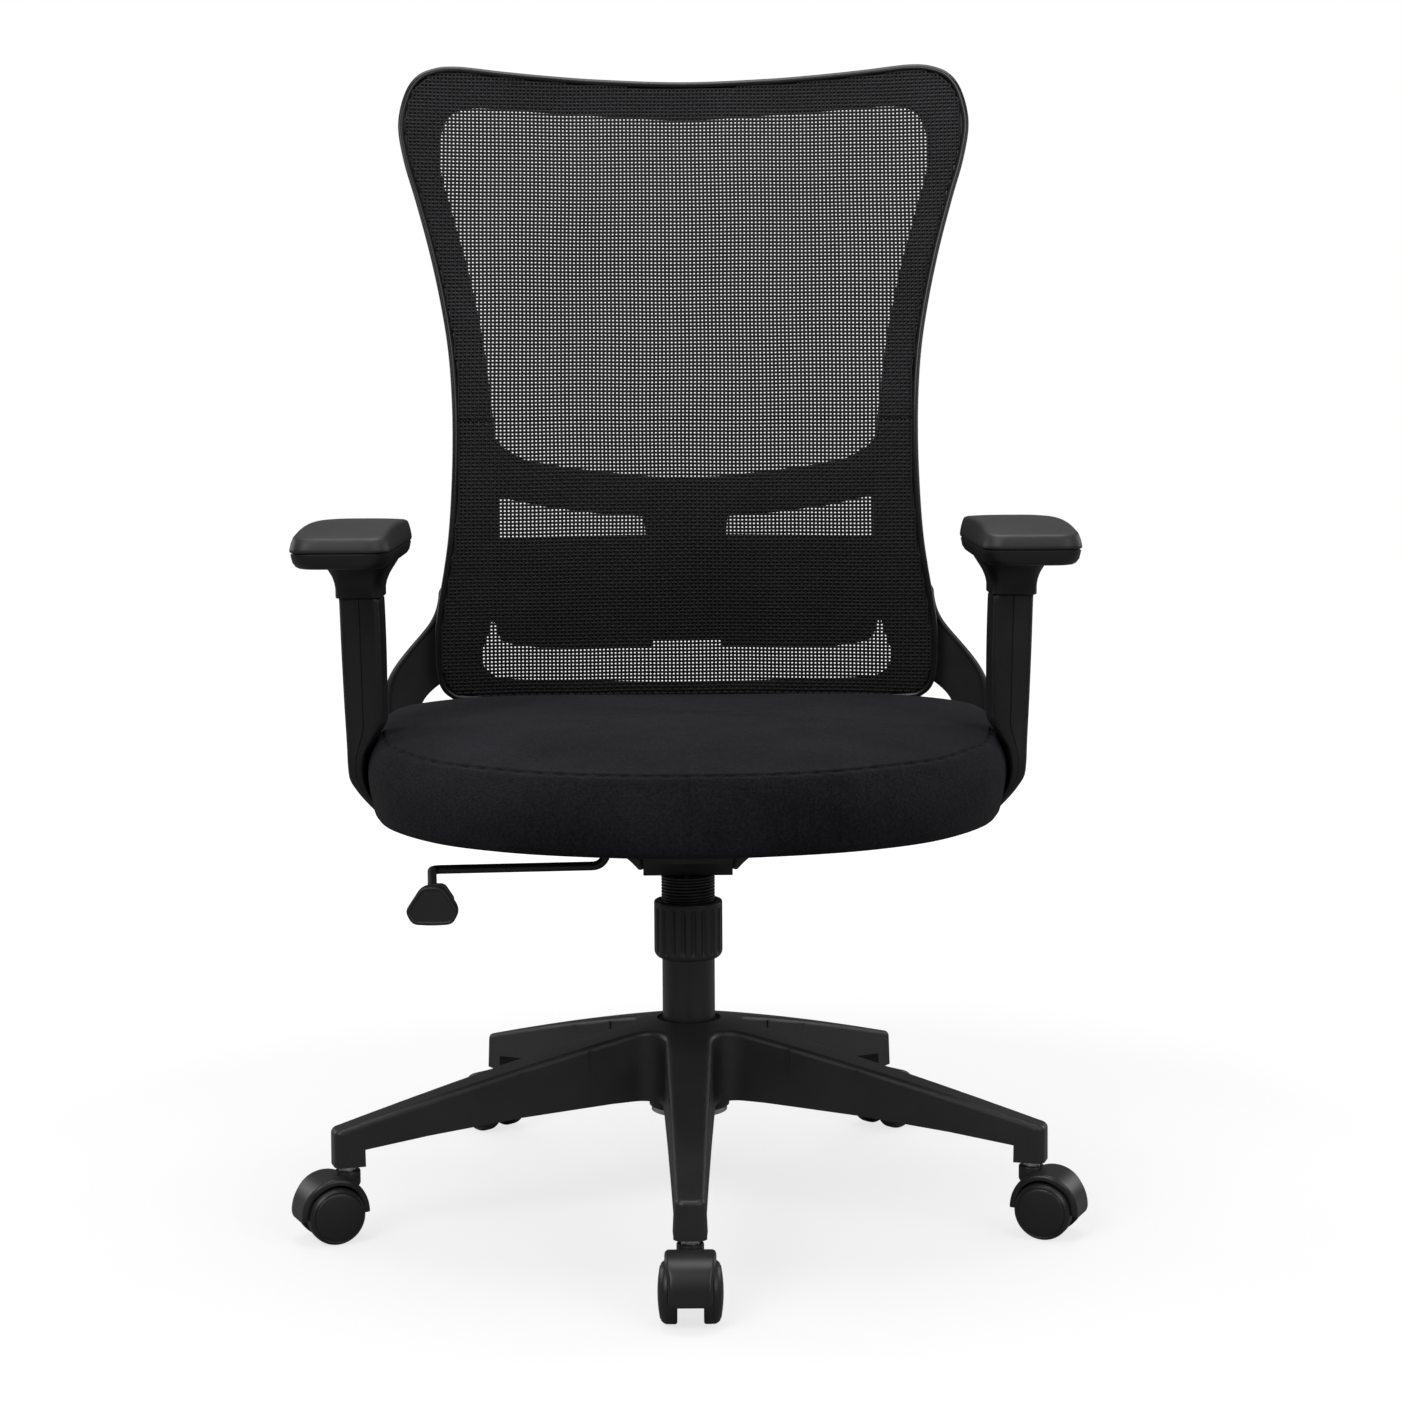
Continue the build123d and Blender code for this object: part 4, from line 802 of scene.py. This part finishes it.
arm = {
    # (x, height) of the post's outer and inner line: down the sleeve, round the low corner, in under the seat
    "postOuter": [(-305, 550), (-304.6, 545), (-303.4, 500), (-301.8, 455), (-300.2, 420), (-299.5, 402),
                  (-297.8, 390), (-292, 380.5), (-284.5, 371.5), (-274, 361), (-262, 352), (-250, 346.6),
                  (-240, 345), (-200, 345), (-150, 345), (-100, 345), (-97, 345)],
    "postInner": [(-269, 550), (-268, 545), (-267, 500), (-267, 450), (-267.6, 438), (-273.5, 428),
                  (-281.6, 415), (-284, 400), (-282.5, 387), (-278, 376), (-269, 365), (-258, 358.6),
                  (-248, 357.4), (-200, 357.4), (-150, 357.4), (-100, 357.4), (-97, 357.4)],
    "postRows": 160, "depth": 54, "seamWidth": 0.035, "seamDepth": 0.025, "turnBack": 0.12,
    # upright: x, then how far each level stands past outer, inner, front and rear, its corner and its height
    "outerX": -305, "innerX": -269,
    "levels": [(-9, -6, -10, -10, 3, 440), (-9, -6, -10, -10, 3, 549.5), (1.2, 1.2, 1.2, 1.2, 8, 550.6),
               (2, 2, 2, 2, 8.5, 551.4), (2, 2, 2, 2, 8.5, 559), (2.6, 3, 3, 3, 8, 564),
               (4, 5, 6, 7, 8, 569.5), (6.6, 8, 11, 13, 9, 575), (9, 11, 17, 19, 10, 580),
               (11, 13, 21, 23, 10, 584), (12, 14, 23, 25, 10, 588)],
    # pad and tray: plan, then (inset, height) of their levels
    "padX": -288, "padWidth": 84, "padFront": -155, "padBack": 95, "padColumns": 160,
    "tray": [(10, 583.5), (7, 584), (4.6, 585.4), (2.2, 589), (0.8, 595.6), (1.8, 597)],
    "pad": [(1.8, 597.3), (0.5, 597.6), (0, 598.6), (0.3, 600.5), (1.2, 603.6), (2.4, 606.2), (3.1, 607.3),
            (4.0, 608.0), (5.4, 608.4), (7, 608.7)],
    "crown": 0.9, "archLow": 597.6, "archHigh": 608.7, "archTop": 618.0, "archPeak": -40, "archFront": 9.0,
    "archBack": 4.0,
    # button: x and how far its edge is drawn in
    "button": [(-307.6, 0.9), (-308.0, 0.3), (-304.5, 0.0), (-302.0, 0.0)],
    "buttonHalf": (7.2, 4.6), "buttonRound": 1.6, "buttonZ": 560, "buttonColumns": 48,
}


def padLoop(v, inset):
    # plan of the arm pad: wide blunt front, sides that draw in towards the back, full round rear
    half, front, back = v["padWidth"] / 2, v["padFront"], v["padBack"]
    corners = [(-half, front + 11), (-half + 10, front), (half - 10, front), (half, front + 11),
               (half, -20), (half - 2, back - 16), (half - 20, back), (20 - half, back),
               (2 - half, back - 16), (-half, -20)]
    loop = filleted(corners, [8, 8, 8, 8, 26, 14, 12, 12, 14, 26], v["padColumns"])
    # drawn in evenly towards the middle of the pad, so that the round corners never fold over
    middle = np.array([0, (front + back) / 2])
    return middle + (loop - middle) * [1 - inset / half, 1 - 2 * inset / (back - front)]


def padForm(v, levels, crown=0.0):
    # loops of the pad's plan at (inset, z), closed by loops that shrink to the middle: flat below, and above
    # crowned by crown * (1 - share^2)
    loops = [(padLoop(v, inset), z) for inset, z in levels]
    (first, low), (last, high) = loops[0], loops[-1]
    middle = last.mean(0)
    loops = [(middle + k * (first - middle), low) for k in (0.2, 0.6, 0.9)] + loops
    loops += [(middle + k * (last - middle), high + crown * (1 - k**2)) for k in np.linspace(0.97, 0.02, 24)]
    grid = sections(loops)
    grid[..., 0] += v["padX"]
    return tube(grid)


def postForm(v):
    # the section runs between the outer and the inner line: a squared circle, |x|^n + |y|^n = 1 with n = 7,
    # which keeps flat faces and small round corners
    outer, inner = (spline(v[key], v["postRows"]) for key in ("postOuter", "postInner"))
    middle, half = (outer + inner) / 2, (outer - inner) / 2
    width = np.linalg.norm(half, axis=1)[:, None]
    across = half / width
    turn = fullTurn(72)
    squareX, squareY = (np.sign(part) * np.abs(part) ** (2 / 7) for part in (np.cos(turn), np.sin(turn)))
    # the middle of the front and rear face gets a narrow seam, sunk by seamDepth of the half depth
    seam = np.array([0.3, v["seamWidth"], 0, -v["seamWidth"], -0.3])
    sunk = 1 - v["seamDepth"] * np.array([0, 0, 1, 0, 0])
    squareX = np.concatenate([squareX[:18], seam, squareX[19:54], -seam, squareX[55:]])
    squareY = np.concatenate([squareY[:18], sunk, squareY[19:54], -sunk, squareY[55:]])
    # outside the seam both faces turn back a little towards the outer edge
    squareY = squareY * (1 - v["turnBack"] * np.maximum(squareX, 0))
    grid = np.empty((v["postRows"], len(squareX), 3))
    grid[..., 0] = middle[:, :1] + across[:, :1] * width * squareX
    grid[..., 2] = middle[:, 1:] + across[:, 1:] * width * squareX
    grid[..., 1] = v["depth"] / 2 * squareY
    return tube(grid)


def uprightForm(v):
    # bar inside the sleeve, then the skirt that flares out under the tray: a stack of rounded rectangles
    loops = []
    for out, into, front, rear, corner, z in v["levels"]:
        x0, x1 = v["outerX"] - out, v["innerX"] + into
        y0, y1 = -v["depth"] / 2 - front, v["depth"] / 2 + rear
        loop = roundRect((x1 - x0) / 2, (y1 - y0) / 2, corner, 96)
        loops.append((loop + [(x0 + x1) / 2, (y0 + y1) / 2], z))
    return tube(sections(loops))


def arched(points, v):
    # the upper half is stretched so that the top arches from front to back, highest at y = archPeak
    low = v["archLow"]
    away = points[:, 1] - v["archPeak"]
    ahead = v["archFront"] * (away / (v["padFront"] - v["archPeak"])) ** 2
    behind = v["archBack"] * (away / (v["padBack"] - v["archPeak"])) ** 2
    top = v["archTop"] - np.where(away < 0, ahead, behind)
    z = points[:, 2]
    points[:, 2] = low + (z - low) * np.where(z > low, (top - low) / (v["archHigh"] - low), 1)
    return points


def buttonForm(v):
    # a small rounded tongue in the skirt's outer face
    (wide, tall), count = v["buttonHalf"], v["buttonColumns"]
    loops = [(roundRect(wide - inset, tall - inset, v["buttonRound"], count) + [0, v["buttonZ"]], x)
             for x, inset in v["button"]]
    return tube(sections(loops)[..., [2, 0, 1]])


def makeArm(v, side):
    flip = (lambda p: p) if side == "right" else mirrorX
    body = "arm_" + side
    points, faces = postForm(v)
    post = meshPiece("armPost_" + side, flip(points), faces, "armPlastic", "seat", sharp=40)
    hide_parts("arm_post_" + side)
    points, faces = joined(uprightForm(v), padForm(v, v["tray"]))
    upper = meshPiece("armUpright_" + side, flip(points), faces, "armPlastic", body, sharp=42)
    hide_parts("arm_upright_" + side)
    points, faces = padForm(v, v["pad"], v["crown"])
    points = arched(points, v)
    uv = points[:, :2] * mm
    pad = meshPiece("armPad_" + side, flip(points), faces, "padSkin", body, sharp=0, uv=uv)
    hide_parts("arm_pad_" + side)
    points, faces = buttonForm(v)
    body = "button_" + side
    button = meshPiece("armButton_" + side, flip(points), faces, "armPlastic", body, sharp=40)
    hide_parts("arm_button_" + side)


for sideName in ("right", "left"):
    makeArm(arm, sideName)
print("arms made")


# tension knob and spring, height lever, housing cheeks

under = {
    "knobY": -100, "knobLow": 246, "knobHigh": 296, "knobRadius": 29.3, "knobRound": 7, "cupRadius": 23.7,
    "cupDepth": 6.3, "boltRadius": 5.4, "floor": 1.8,
    "flutes": 20, "fluteDepth": 2.2, "fluteShare": 0.52, "fluteColumns": 16,
    "springLow": 293.1, "springHigh": 320, "springRadius": 23.1, "wire": 2.6, "turns": 9.4, "closeUp": 0.015,
    "paddle": (-213, -172, 288), "paddleLength": 62, "paddleWidth": 45.5, "paddleHeight": 33,
    "paddleThin": 0.36,
    "rodRadius": 4, "rodBend": 9, "rodUp": (0, 0.3, 1),
    "rod": [(18, -26, 338), (-66, -26, 338), (-76, -26, 313), (-226, -26, 310.5), (-217, -122, 311)],
    "rodTabs": [(-8, 18, -30, 6, 351.8, 354.5), (-8, 18, -30, -26, 338, 354.5)],
    "cheek": [(37.8, 326), (41.5, 325), (47, 331), (51.5, 335), (55.5, 338), (55.5, 344), (37.8, 344)],
    "cheekY": [(-122, 1.2), (-121.6, 0.35), (-120.7, 0), (-100, 0), (-99, 0.8)],
}


def makeKnob(v):
    # radius(angle, z) = profile(z) - depth * hollow(angle) * fade(z): wide ribs between hollow flutes that
    # run out before the top collar and end in a round scoop above the lower edge
    low, high, full, r = (v[key] for key in ("knobLow", "knobHigh", "knobRadius", "knobRound"))
    cup, bolt, shelf, floor = v["cupRadius"], v["boltRadius"], high - v["cupDepth"], low + v["floor"]
    count = v["flutes"] * v["fluteColumns"]
    turn = fullTurn(count)
    wave = (turn * v["flutes"] / (2 * np.pi)) % 1
    hollow = np.clip(1 - ((wave - 0.5) / (v["fluteShare"] / 2)) ** 2, 0, 1) ** 0.8
    bend = np.linspace(0, np.pi / 2, 9)
    profile = [(full - r - 14, low + 0.6), (full - r - 6, low + 0.2), (full - r - 1.5, low)]
    profile += [(full - r + r * math.sin(a), low + r - r * math.cos(a)) for a in bend]
    profile += [(full, z) for z in np.linspace(low + r, high - 6, 16)[1:]]
    profile += [(full, high - 5.2), (full, high - 4.4), (full, high - 3.6), (full, high - 1.6),
                (full - 0.3, high - 0.6), (full - 1.0, high - 0.05), (full - 2.2, high)]
    profile += [(cup + 0.6, high), (cup, high - 0.5), (cup, shelf), (bolt + 6, shelf), (bolt, shelf),
                (bolt, floor + 6), (bolt, floor)]
    profile = np.array(profile)
    radius, z = profile[:, :1], profile[:, 1]
    fade = smoothstep(z, low + 3.5, low + 9) * (1 - smoothstep(z, high - 6.2, high - 4.6))
    fade = fade * (profile[:, 0] > full - 3)
    radius = radius - v["fluteDepth"] * fade[:, None] * hollow[None, :]
    heights = np.repeat(z[:, None], count, 1)
    points, faces = tube(np.stack([radius * np.cos(turn), v["knobY"] + radius * np.sin(turn), heights], -1))
    knob = meshPiece("tensionKnob", points, faces, "knobPlastic", "tension_knob", sharp=50)
    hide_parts("tension_knob")


def makeSpring(v):
    # helix(t) about the knob's axis, its end turns closed up against each other; wire section round
    wire = v["wire"] / 2
    t = np.linspace(0, 1, int(v["turns"] * 44))
    turn = t * v["turns"] * 2 * np.pi
    start, end = v["springLow"] + wire, v["springHigh"] - wire
    z = start + (end - start) * (t - v["closeUp"] * np.sin(2 * np.pi * t))
    section = circle(wire, 12)
    r = v["springRadius"] - wire + section[:, 0][None, :]
    x, y = r * np.cos(turn)[:, None], v["knobY"] + r * np.sin(turn)[:, None]
    points, faces = tube(np.stack([x, y, z[:, None] + section[:, 1][None, :]], -1))
    spring = meshPiece("tensionSpring", points, faces, "springSteel", "column", sharp=0)
    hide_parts("tension_spring")


def makePaddle(v):
    # rounded three-sided front outline, thinning towards the back; the face has a shallow dished panel
    half, length = v["paddleWidth"] / 2, v["paddleLength"]
    low, high = 0.4 * v["paddleHeight"], 0.6 * v["paddleHeight"]
    corners = [(-half, -1), (-half * 0.74, -low + 1), (0, -low), (half * 0.74, -low + 1), (half, -1),
               (half * 0.4, high), (-half * 0.4, high)]
    outline = filleted(corners, [5, 5, 8, 5, 5, 6, 6], 140)
    normal = loopSide(outline)
    # (inset, distance behind the face, share of the outline)
    rows = [(3.2, 0.9, 1), (3.0, 0.6, 1), (2.4, 0.15, 1), (1.8, 0, 1), (1.0, 0.15, 1), (0.4, 0.7, 1),
            (0.05, 1.6, 1), (0, 3.0, 1)]
    rows += [(0, y, 1 - v["paddleThin"] * smoothstep(y, 4, length)) for y in np.linspace(6, length - 3, 16)]
    thin = 1 - v["paddleThin"]
    rows += [(0.6, length - 1.2, thin), (2.0, length - 0.3, thin), (3.6, length, thin)]
    loops = [(outline * k * (1 - 3.2 / half), 1.7 - 0.8 * k) for k in (0.35, 0.7)]
    loops += [(outline * share - normal * inset, y) for inset, y, share in rows]
    x, y, z = v["paddle"]
    points, faces = tube(sections(loops)[..., [0, 2, 1]] + [x, y, z + low])
    paddle = meshPiece("leverPaddle", points, faces, "knobPlastic", "lever", sharp=45)
    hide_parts("lever_paddle")


def makeRod(v):
    # round rod along its bearing axis, down beside the housing, out under the seat and forward to the paddle;
    # each bend is the curve (1 - t)^2 first + 2 t (1 - t) corner + t^2 last
    bends = np.array(v["rod"], float)
    path = [bends[0]]
    for before, at, after in zip(bends, bends[1:], bends[2:]):
        back, ahead = before - at, after - at
        toBack, toAhead = np.linalg.norm(back), np.linalg.norm(ahead)
        cut = min(v["rodBend"], toBack / 2.1, toAhead / 2.1)
        first, last = at + cut * back / toBack, at + cut * ahead / toAhead
        path += [(1 - t) ** 2 * first + 2 * t * (1 - t) * at + t * t * last for t in np.linspace(0, 1, 9)]
    path.append(bends[-1])
    parts = [tube(carried(np.array(path), circle(v["rodRadius"], 28), v["rodUp"]))]
    # flat tab over the gas cylinder's button, with the riser that joins it to the rod
    for x0, x1, y0, y1, z0, z1 in v["rodTabs"]:
        loop = roundRect((x1 - x0) / 2, (y1 - y0) / 2, 1.0, 32) + [(x0 + x1) / 2, (y0 + y1) / 2]
        parts.append(tube(sections([(loop, z0), (loop, z1)])))
    points, faces = joined(*parts)
    piece = meshPiece("leverRod", points, faces, "blackPaint", "lever", sharp=40)
    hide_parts("lever_rod")


def makeCheeks(v):
    # a cast cheek on each side of the housing's front, lowest beside the housing and drawn up outwards
    outline = filleted(v["cheek"], [1.2, 2, 2.4, 2.4, 1.6, 1, 1], 72)
    normal = loopSide(outline)
    grid = sections([(outline - normal * inset, y) for y, inset in v["cheekY"]])[..., [0, 2, 1]]
    points, faces = joined(tube(grid), tube(mirrorX(grid)))
    meshPiece("housingCheeks", points, faces, "blackPaint", "column", sharp=40)


for makePart in (makeKnob, makeCheeks, makeSpring, makePaddle, makeRod):
    makePart(under)
print("knob, spring, paddle and rod made")


# casters

caster = {
    "legRadius": 312, "headings": [0, 65, 135, -135, -65], "trail": 16, "axleZ": 25, "skirt": 21.5,
    "wheelRadius": 25, "wheelInner": 10.5, "wheelOuter": 26.1, "faceRadius": 21.6,
    "hoodHalf": 20.5, "hoodRadius": 30.6, "hoodWall": 3, "hoodEdge": 3.6, "hoodWaist": 2.9, "hoodRise": 2.3,
    "hoodCut": 5.0, "webHalf": 9.6, "bossRadius": 10, "flangeRadius": 11, "bossTop": 60, "flangeLow": 51.8,
}


def stationed(points, k, v):
    # from the caster's own frame, trailing towards -Y, to the end of leg k
    turn = math.radians(v["headings"][k])
    leg = math.radians(72 * k)
    x, y = points[..., 0], points[..., 1]
    x, y = x * math.cos(turn) - y * math.sin(turn), x * math.sin(turn) + y * math.cos(turn)
    reach = v["legRadius"]
    return np.stack([x + reach * math.sin(leg), y - reach * math.cos(leg), points[..., 2]], -1)


def hoodShell(v):
    # the section is flat across and its side edges roll over by a quarter circle; it runs along an arch from
    # straight behind the axle over the top to the front waterline, its lower corners behind cut round
    half, edge, wall, radius = v["hoodHalf"], v["hoodEdge"], v["hoodWall"], v["hoodRadius"]
    low = math.asin((v["skirt"] - v["axleZ"]) / radius)
    bend = np.linspace(0, np.pi / 2, 8)
    roll = [(half - edge + edge * math.sin(a), -(edge - edge * math.cos(a))) for a in bend]
    outer = [(-half, -edge - 1.6)] + [(-x, z) for x, z in roll[::-1]]
    outer += [(x, 0) for x in np.linspace(edge - half, half - edge, 13)[1:-1]]
    outer += roll + [(half, -edge - 1.6)]
    lining = [(half - 0.5, -edge - 2.1), (half - wall * 0.7, -edge - 2.1), (half - wall, -edge - 0.6)]
    inner = lining + [(half - edge - 1, -wall)]
    inner += [(x, -wall) for x in np.linspace(half - edge - 2, edge + 2 - half, 7)]
    inner += [(edge + 1 - half, -wall)] + [(-x, z) for x, z in lining[::-1]]
    section = np.array(outer + inner)
    rows = []
    for a in low + (np.pi - low) * np.linspace(0, 1, 61):
        short = v["hoodCut"] - min((a - low) * radius, v["hoodCut"])
        pull = v["hoodCut"] - math.sqrt(v["hoodCut"] ** 2 - short**2)
        # the crown is widest and highest over the wheels' tops and narrows towards both lower ends
        waist = (1 - smoothstep(math.sin(a), 0.55, 0.97)) * v["hoodWaist"]
        x = section[:, 0] * (1 - pull / half - waist / half)
        r = radius + section[:, 1] + v["hoodRise"] * math.sin(a) ** 2
        rows.append(np.stack([x, -v["trail"] - r * math.cos(a), v["axleZ"] + r * math.sin(a)], -1))
    return tube(np.array(rows))


def hoodCore(v):
    # web between the wheels, the stem boss and its flange
    a = np.linspace(0, np.pi, 40)
    r = v["hoodRadius"] - v["hoodWall"] / 2
    rim = np.stack([-v["trail"] - r * np.cos(a), v["axleZ"] + r * np.sin(a)], -1)
    low = np.array([(8, 0), (7, -5), (0, -8), (-7, -5), (-8, 0)]) + [-v["trail"], v["axleZ"]]
    loop = resample(np.vstack([rim, low]), 120, close=True)
    normal = loopSide(loop)
    half = v["webHalf"]
    rows = [(1.0, -half), (0.3, 0.6 - half), (0, 1.4 - half), (0, half - 1.4), (0.3, half - 0.6), (1.0, half)]
    web = tube(sections([(loop - normal * inset, x) for inset, x in rows])[..., [2, 0, 1]])
    f, b, low = v["flangeRadius"], v["bossTop"], v["flangeLow"]
    flange = [(9.6, low - 6), (f - 0.6, low - 5), (f, low - 3.6), (f, b - 1.2), (f - 0.4, b - 0.35),
              (f - 1.4, b), (v["bossRadius"] - 3, b), (6.2, b), (6.0, b - 1.2)]
    return joined(web, tube(turned(flange, 64)))


def wheelForm(v):
    # turned about the axle: inner face, tread with a fine parting line, rolled shoulder, rim groove and a
    # slightly domed disc
    r, a, b, f = v["wheelRadius"], v["wheelInner"], v["wheelOuter"], v["faceRadius"]
    profile = [(3.06, a), (r - 6, a), (r - 1.6, a), (r - 0.5, a + 0.4), (r - 0.05, a + 1.3), (r, a + 2.4),
               (r, a + 6.4), (r - 0.18, a + 6.8), (r - 0.18, a + 7.1), (r, a + 7.5), (r - 0.08, a + 8.4),
               (r - 0.4, a + 9.6), (r - 1.0, a + 10.8), (r - 1.8, a + 11.8), (r - 2.6, a + 12.5),
               (f + 0.35, b - 2.7), (f, b - 3.0), (f - 0.5, b - 3.0), (f - 0.75, b - 2.6), (f - 1.0, b - 2.2),
               (f - 1.6, b - 1.9), (18, b - 1.5), (14, b - 0.9), (10, b - 0.45), (5, b - 0.1), (0.1, b)]
    return tube(turned(profile, 96)[..., [2, 0, 1]] + [0, -v["trail"], v["axleZ"]])


def makeCasters(v):
    hood, hoodFaces = joined(hoodShell(v), hoodCore(v))
    wheel, wheelFaces = wheelForm(v)
    for k in range(5):
        name = str(k + 1)
        piece = meshPiece("casterHood_" + name, stationed(hood, k, v), hoodFaces, "casterNylon",
                          "caster_" + name, sharp=42)
        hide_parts("caster_hood_" + name)
        for side, points in (("a", wheel), ("b", mirrorX(wheel))):
            piece = meshPiece("casterWheel_" + name + side, stationed(points, k, v), wheelFaces,
                              "wheelPlastic", "wheel_" + name + side, sharp=42)
            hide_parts("caster_wheel_" + name + side)


makeCasters(caster)
print("casters made")


# every construction node that is still shown gets a finish; a key stands for all names that start with it
nodeFinish = {
    "baseNylon": ["base_star"], "acetal": ["gas_guide_bush", "lever_bush", "lock_slide"],
    "tubeLacquer": ["gas_outer_tube", "gas_cylinder"], "rubber": ["gas_bump_ring"],
    "brightSteel": ["hub_ring", "gas_lower_bearing", "gas_piston_rod", "gas_valve_button", "tension_bolt",
                    "pivot_axle", "caster_stem_and_axle"],
    "blackPaint": ["mech_housing", "cone_socket", "tension_washer", "seat_plate"],
    "dustCover": ["seat_board"],
    "springSteel": ["gas_clip", "seat_bolts", "back_bolts"], "frameNylon": ["lumbar_pad", "back_support"],
}
for nodeName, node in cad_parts.items():
    if node.hide_render:
        continue
    material = next(finish[name] for name, keys in nodeFinish.items() if nodeName.startswith(tuple(keys)))
    if not node.material_slots:
        node.data.materials.append(material)
    for materialSlot in node.material_slots:
        materialSlot.material = material
print("construction nodes finished")


# the view layer is brought up to date
bpy.context.view_layer.update()
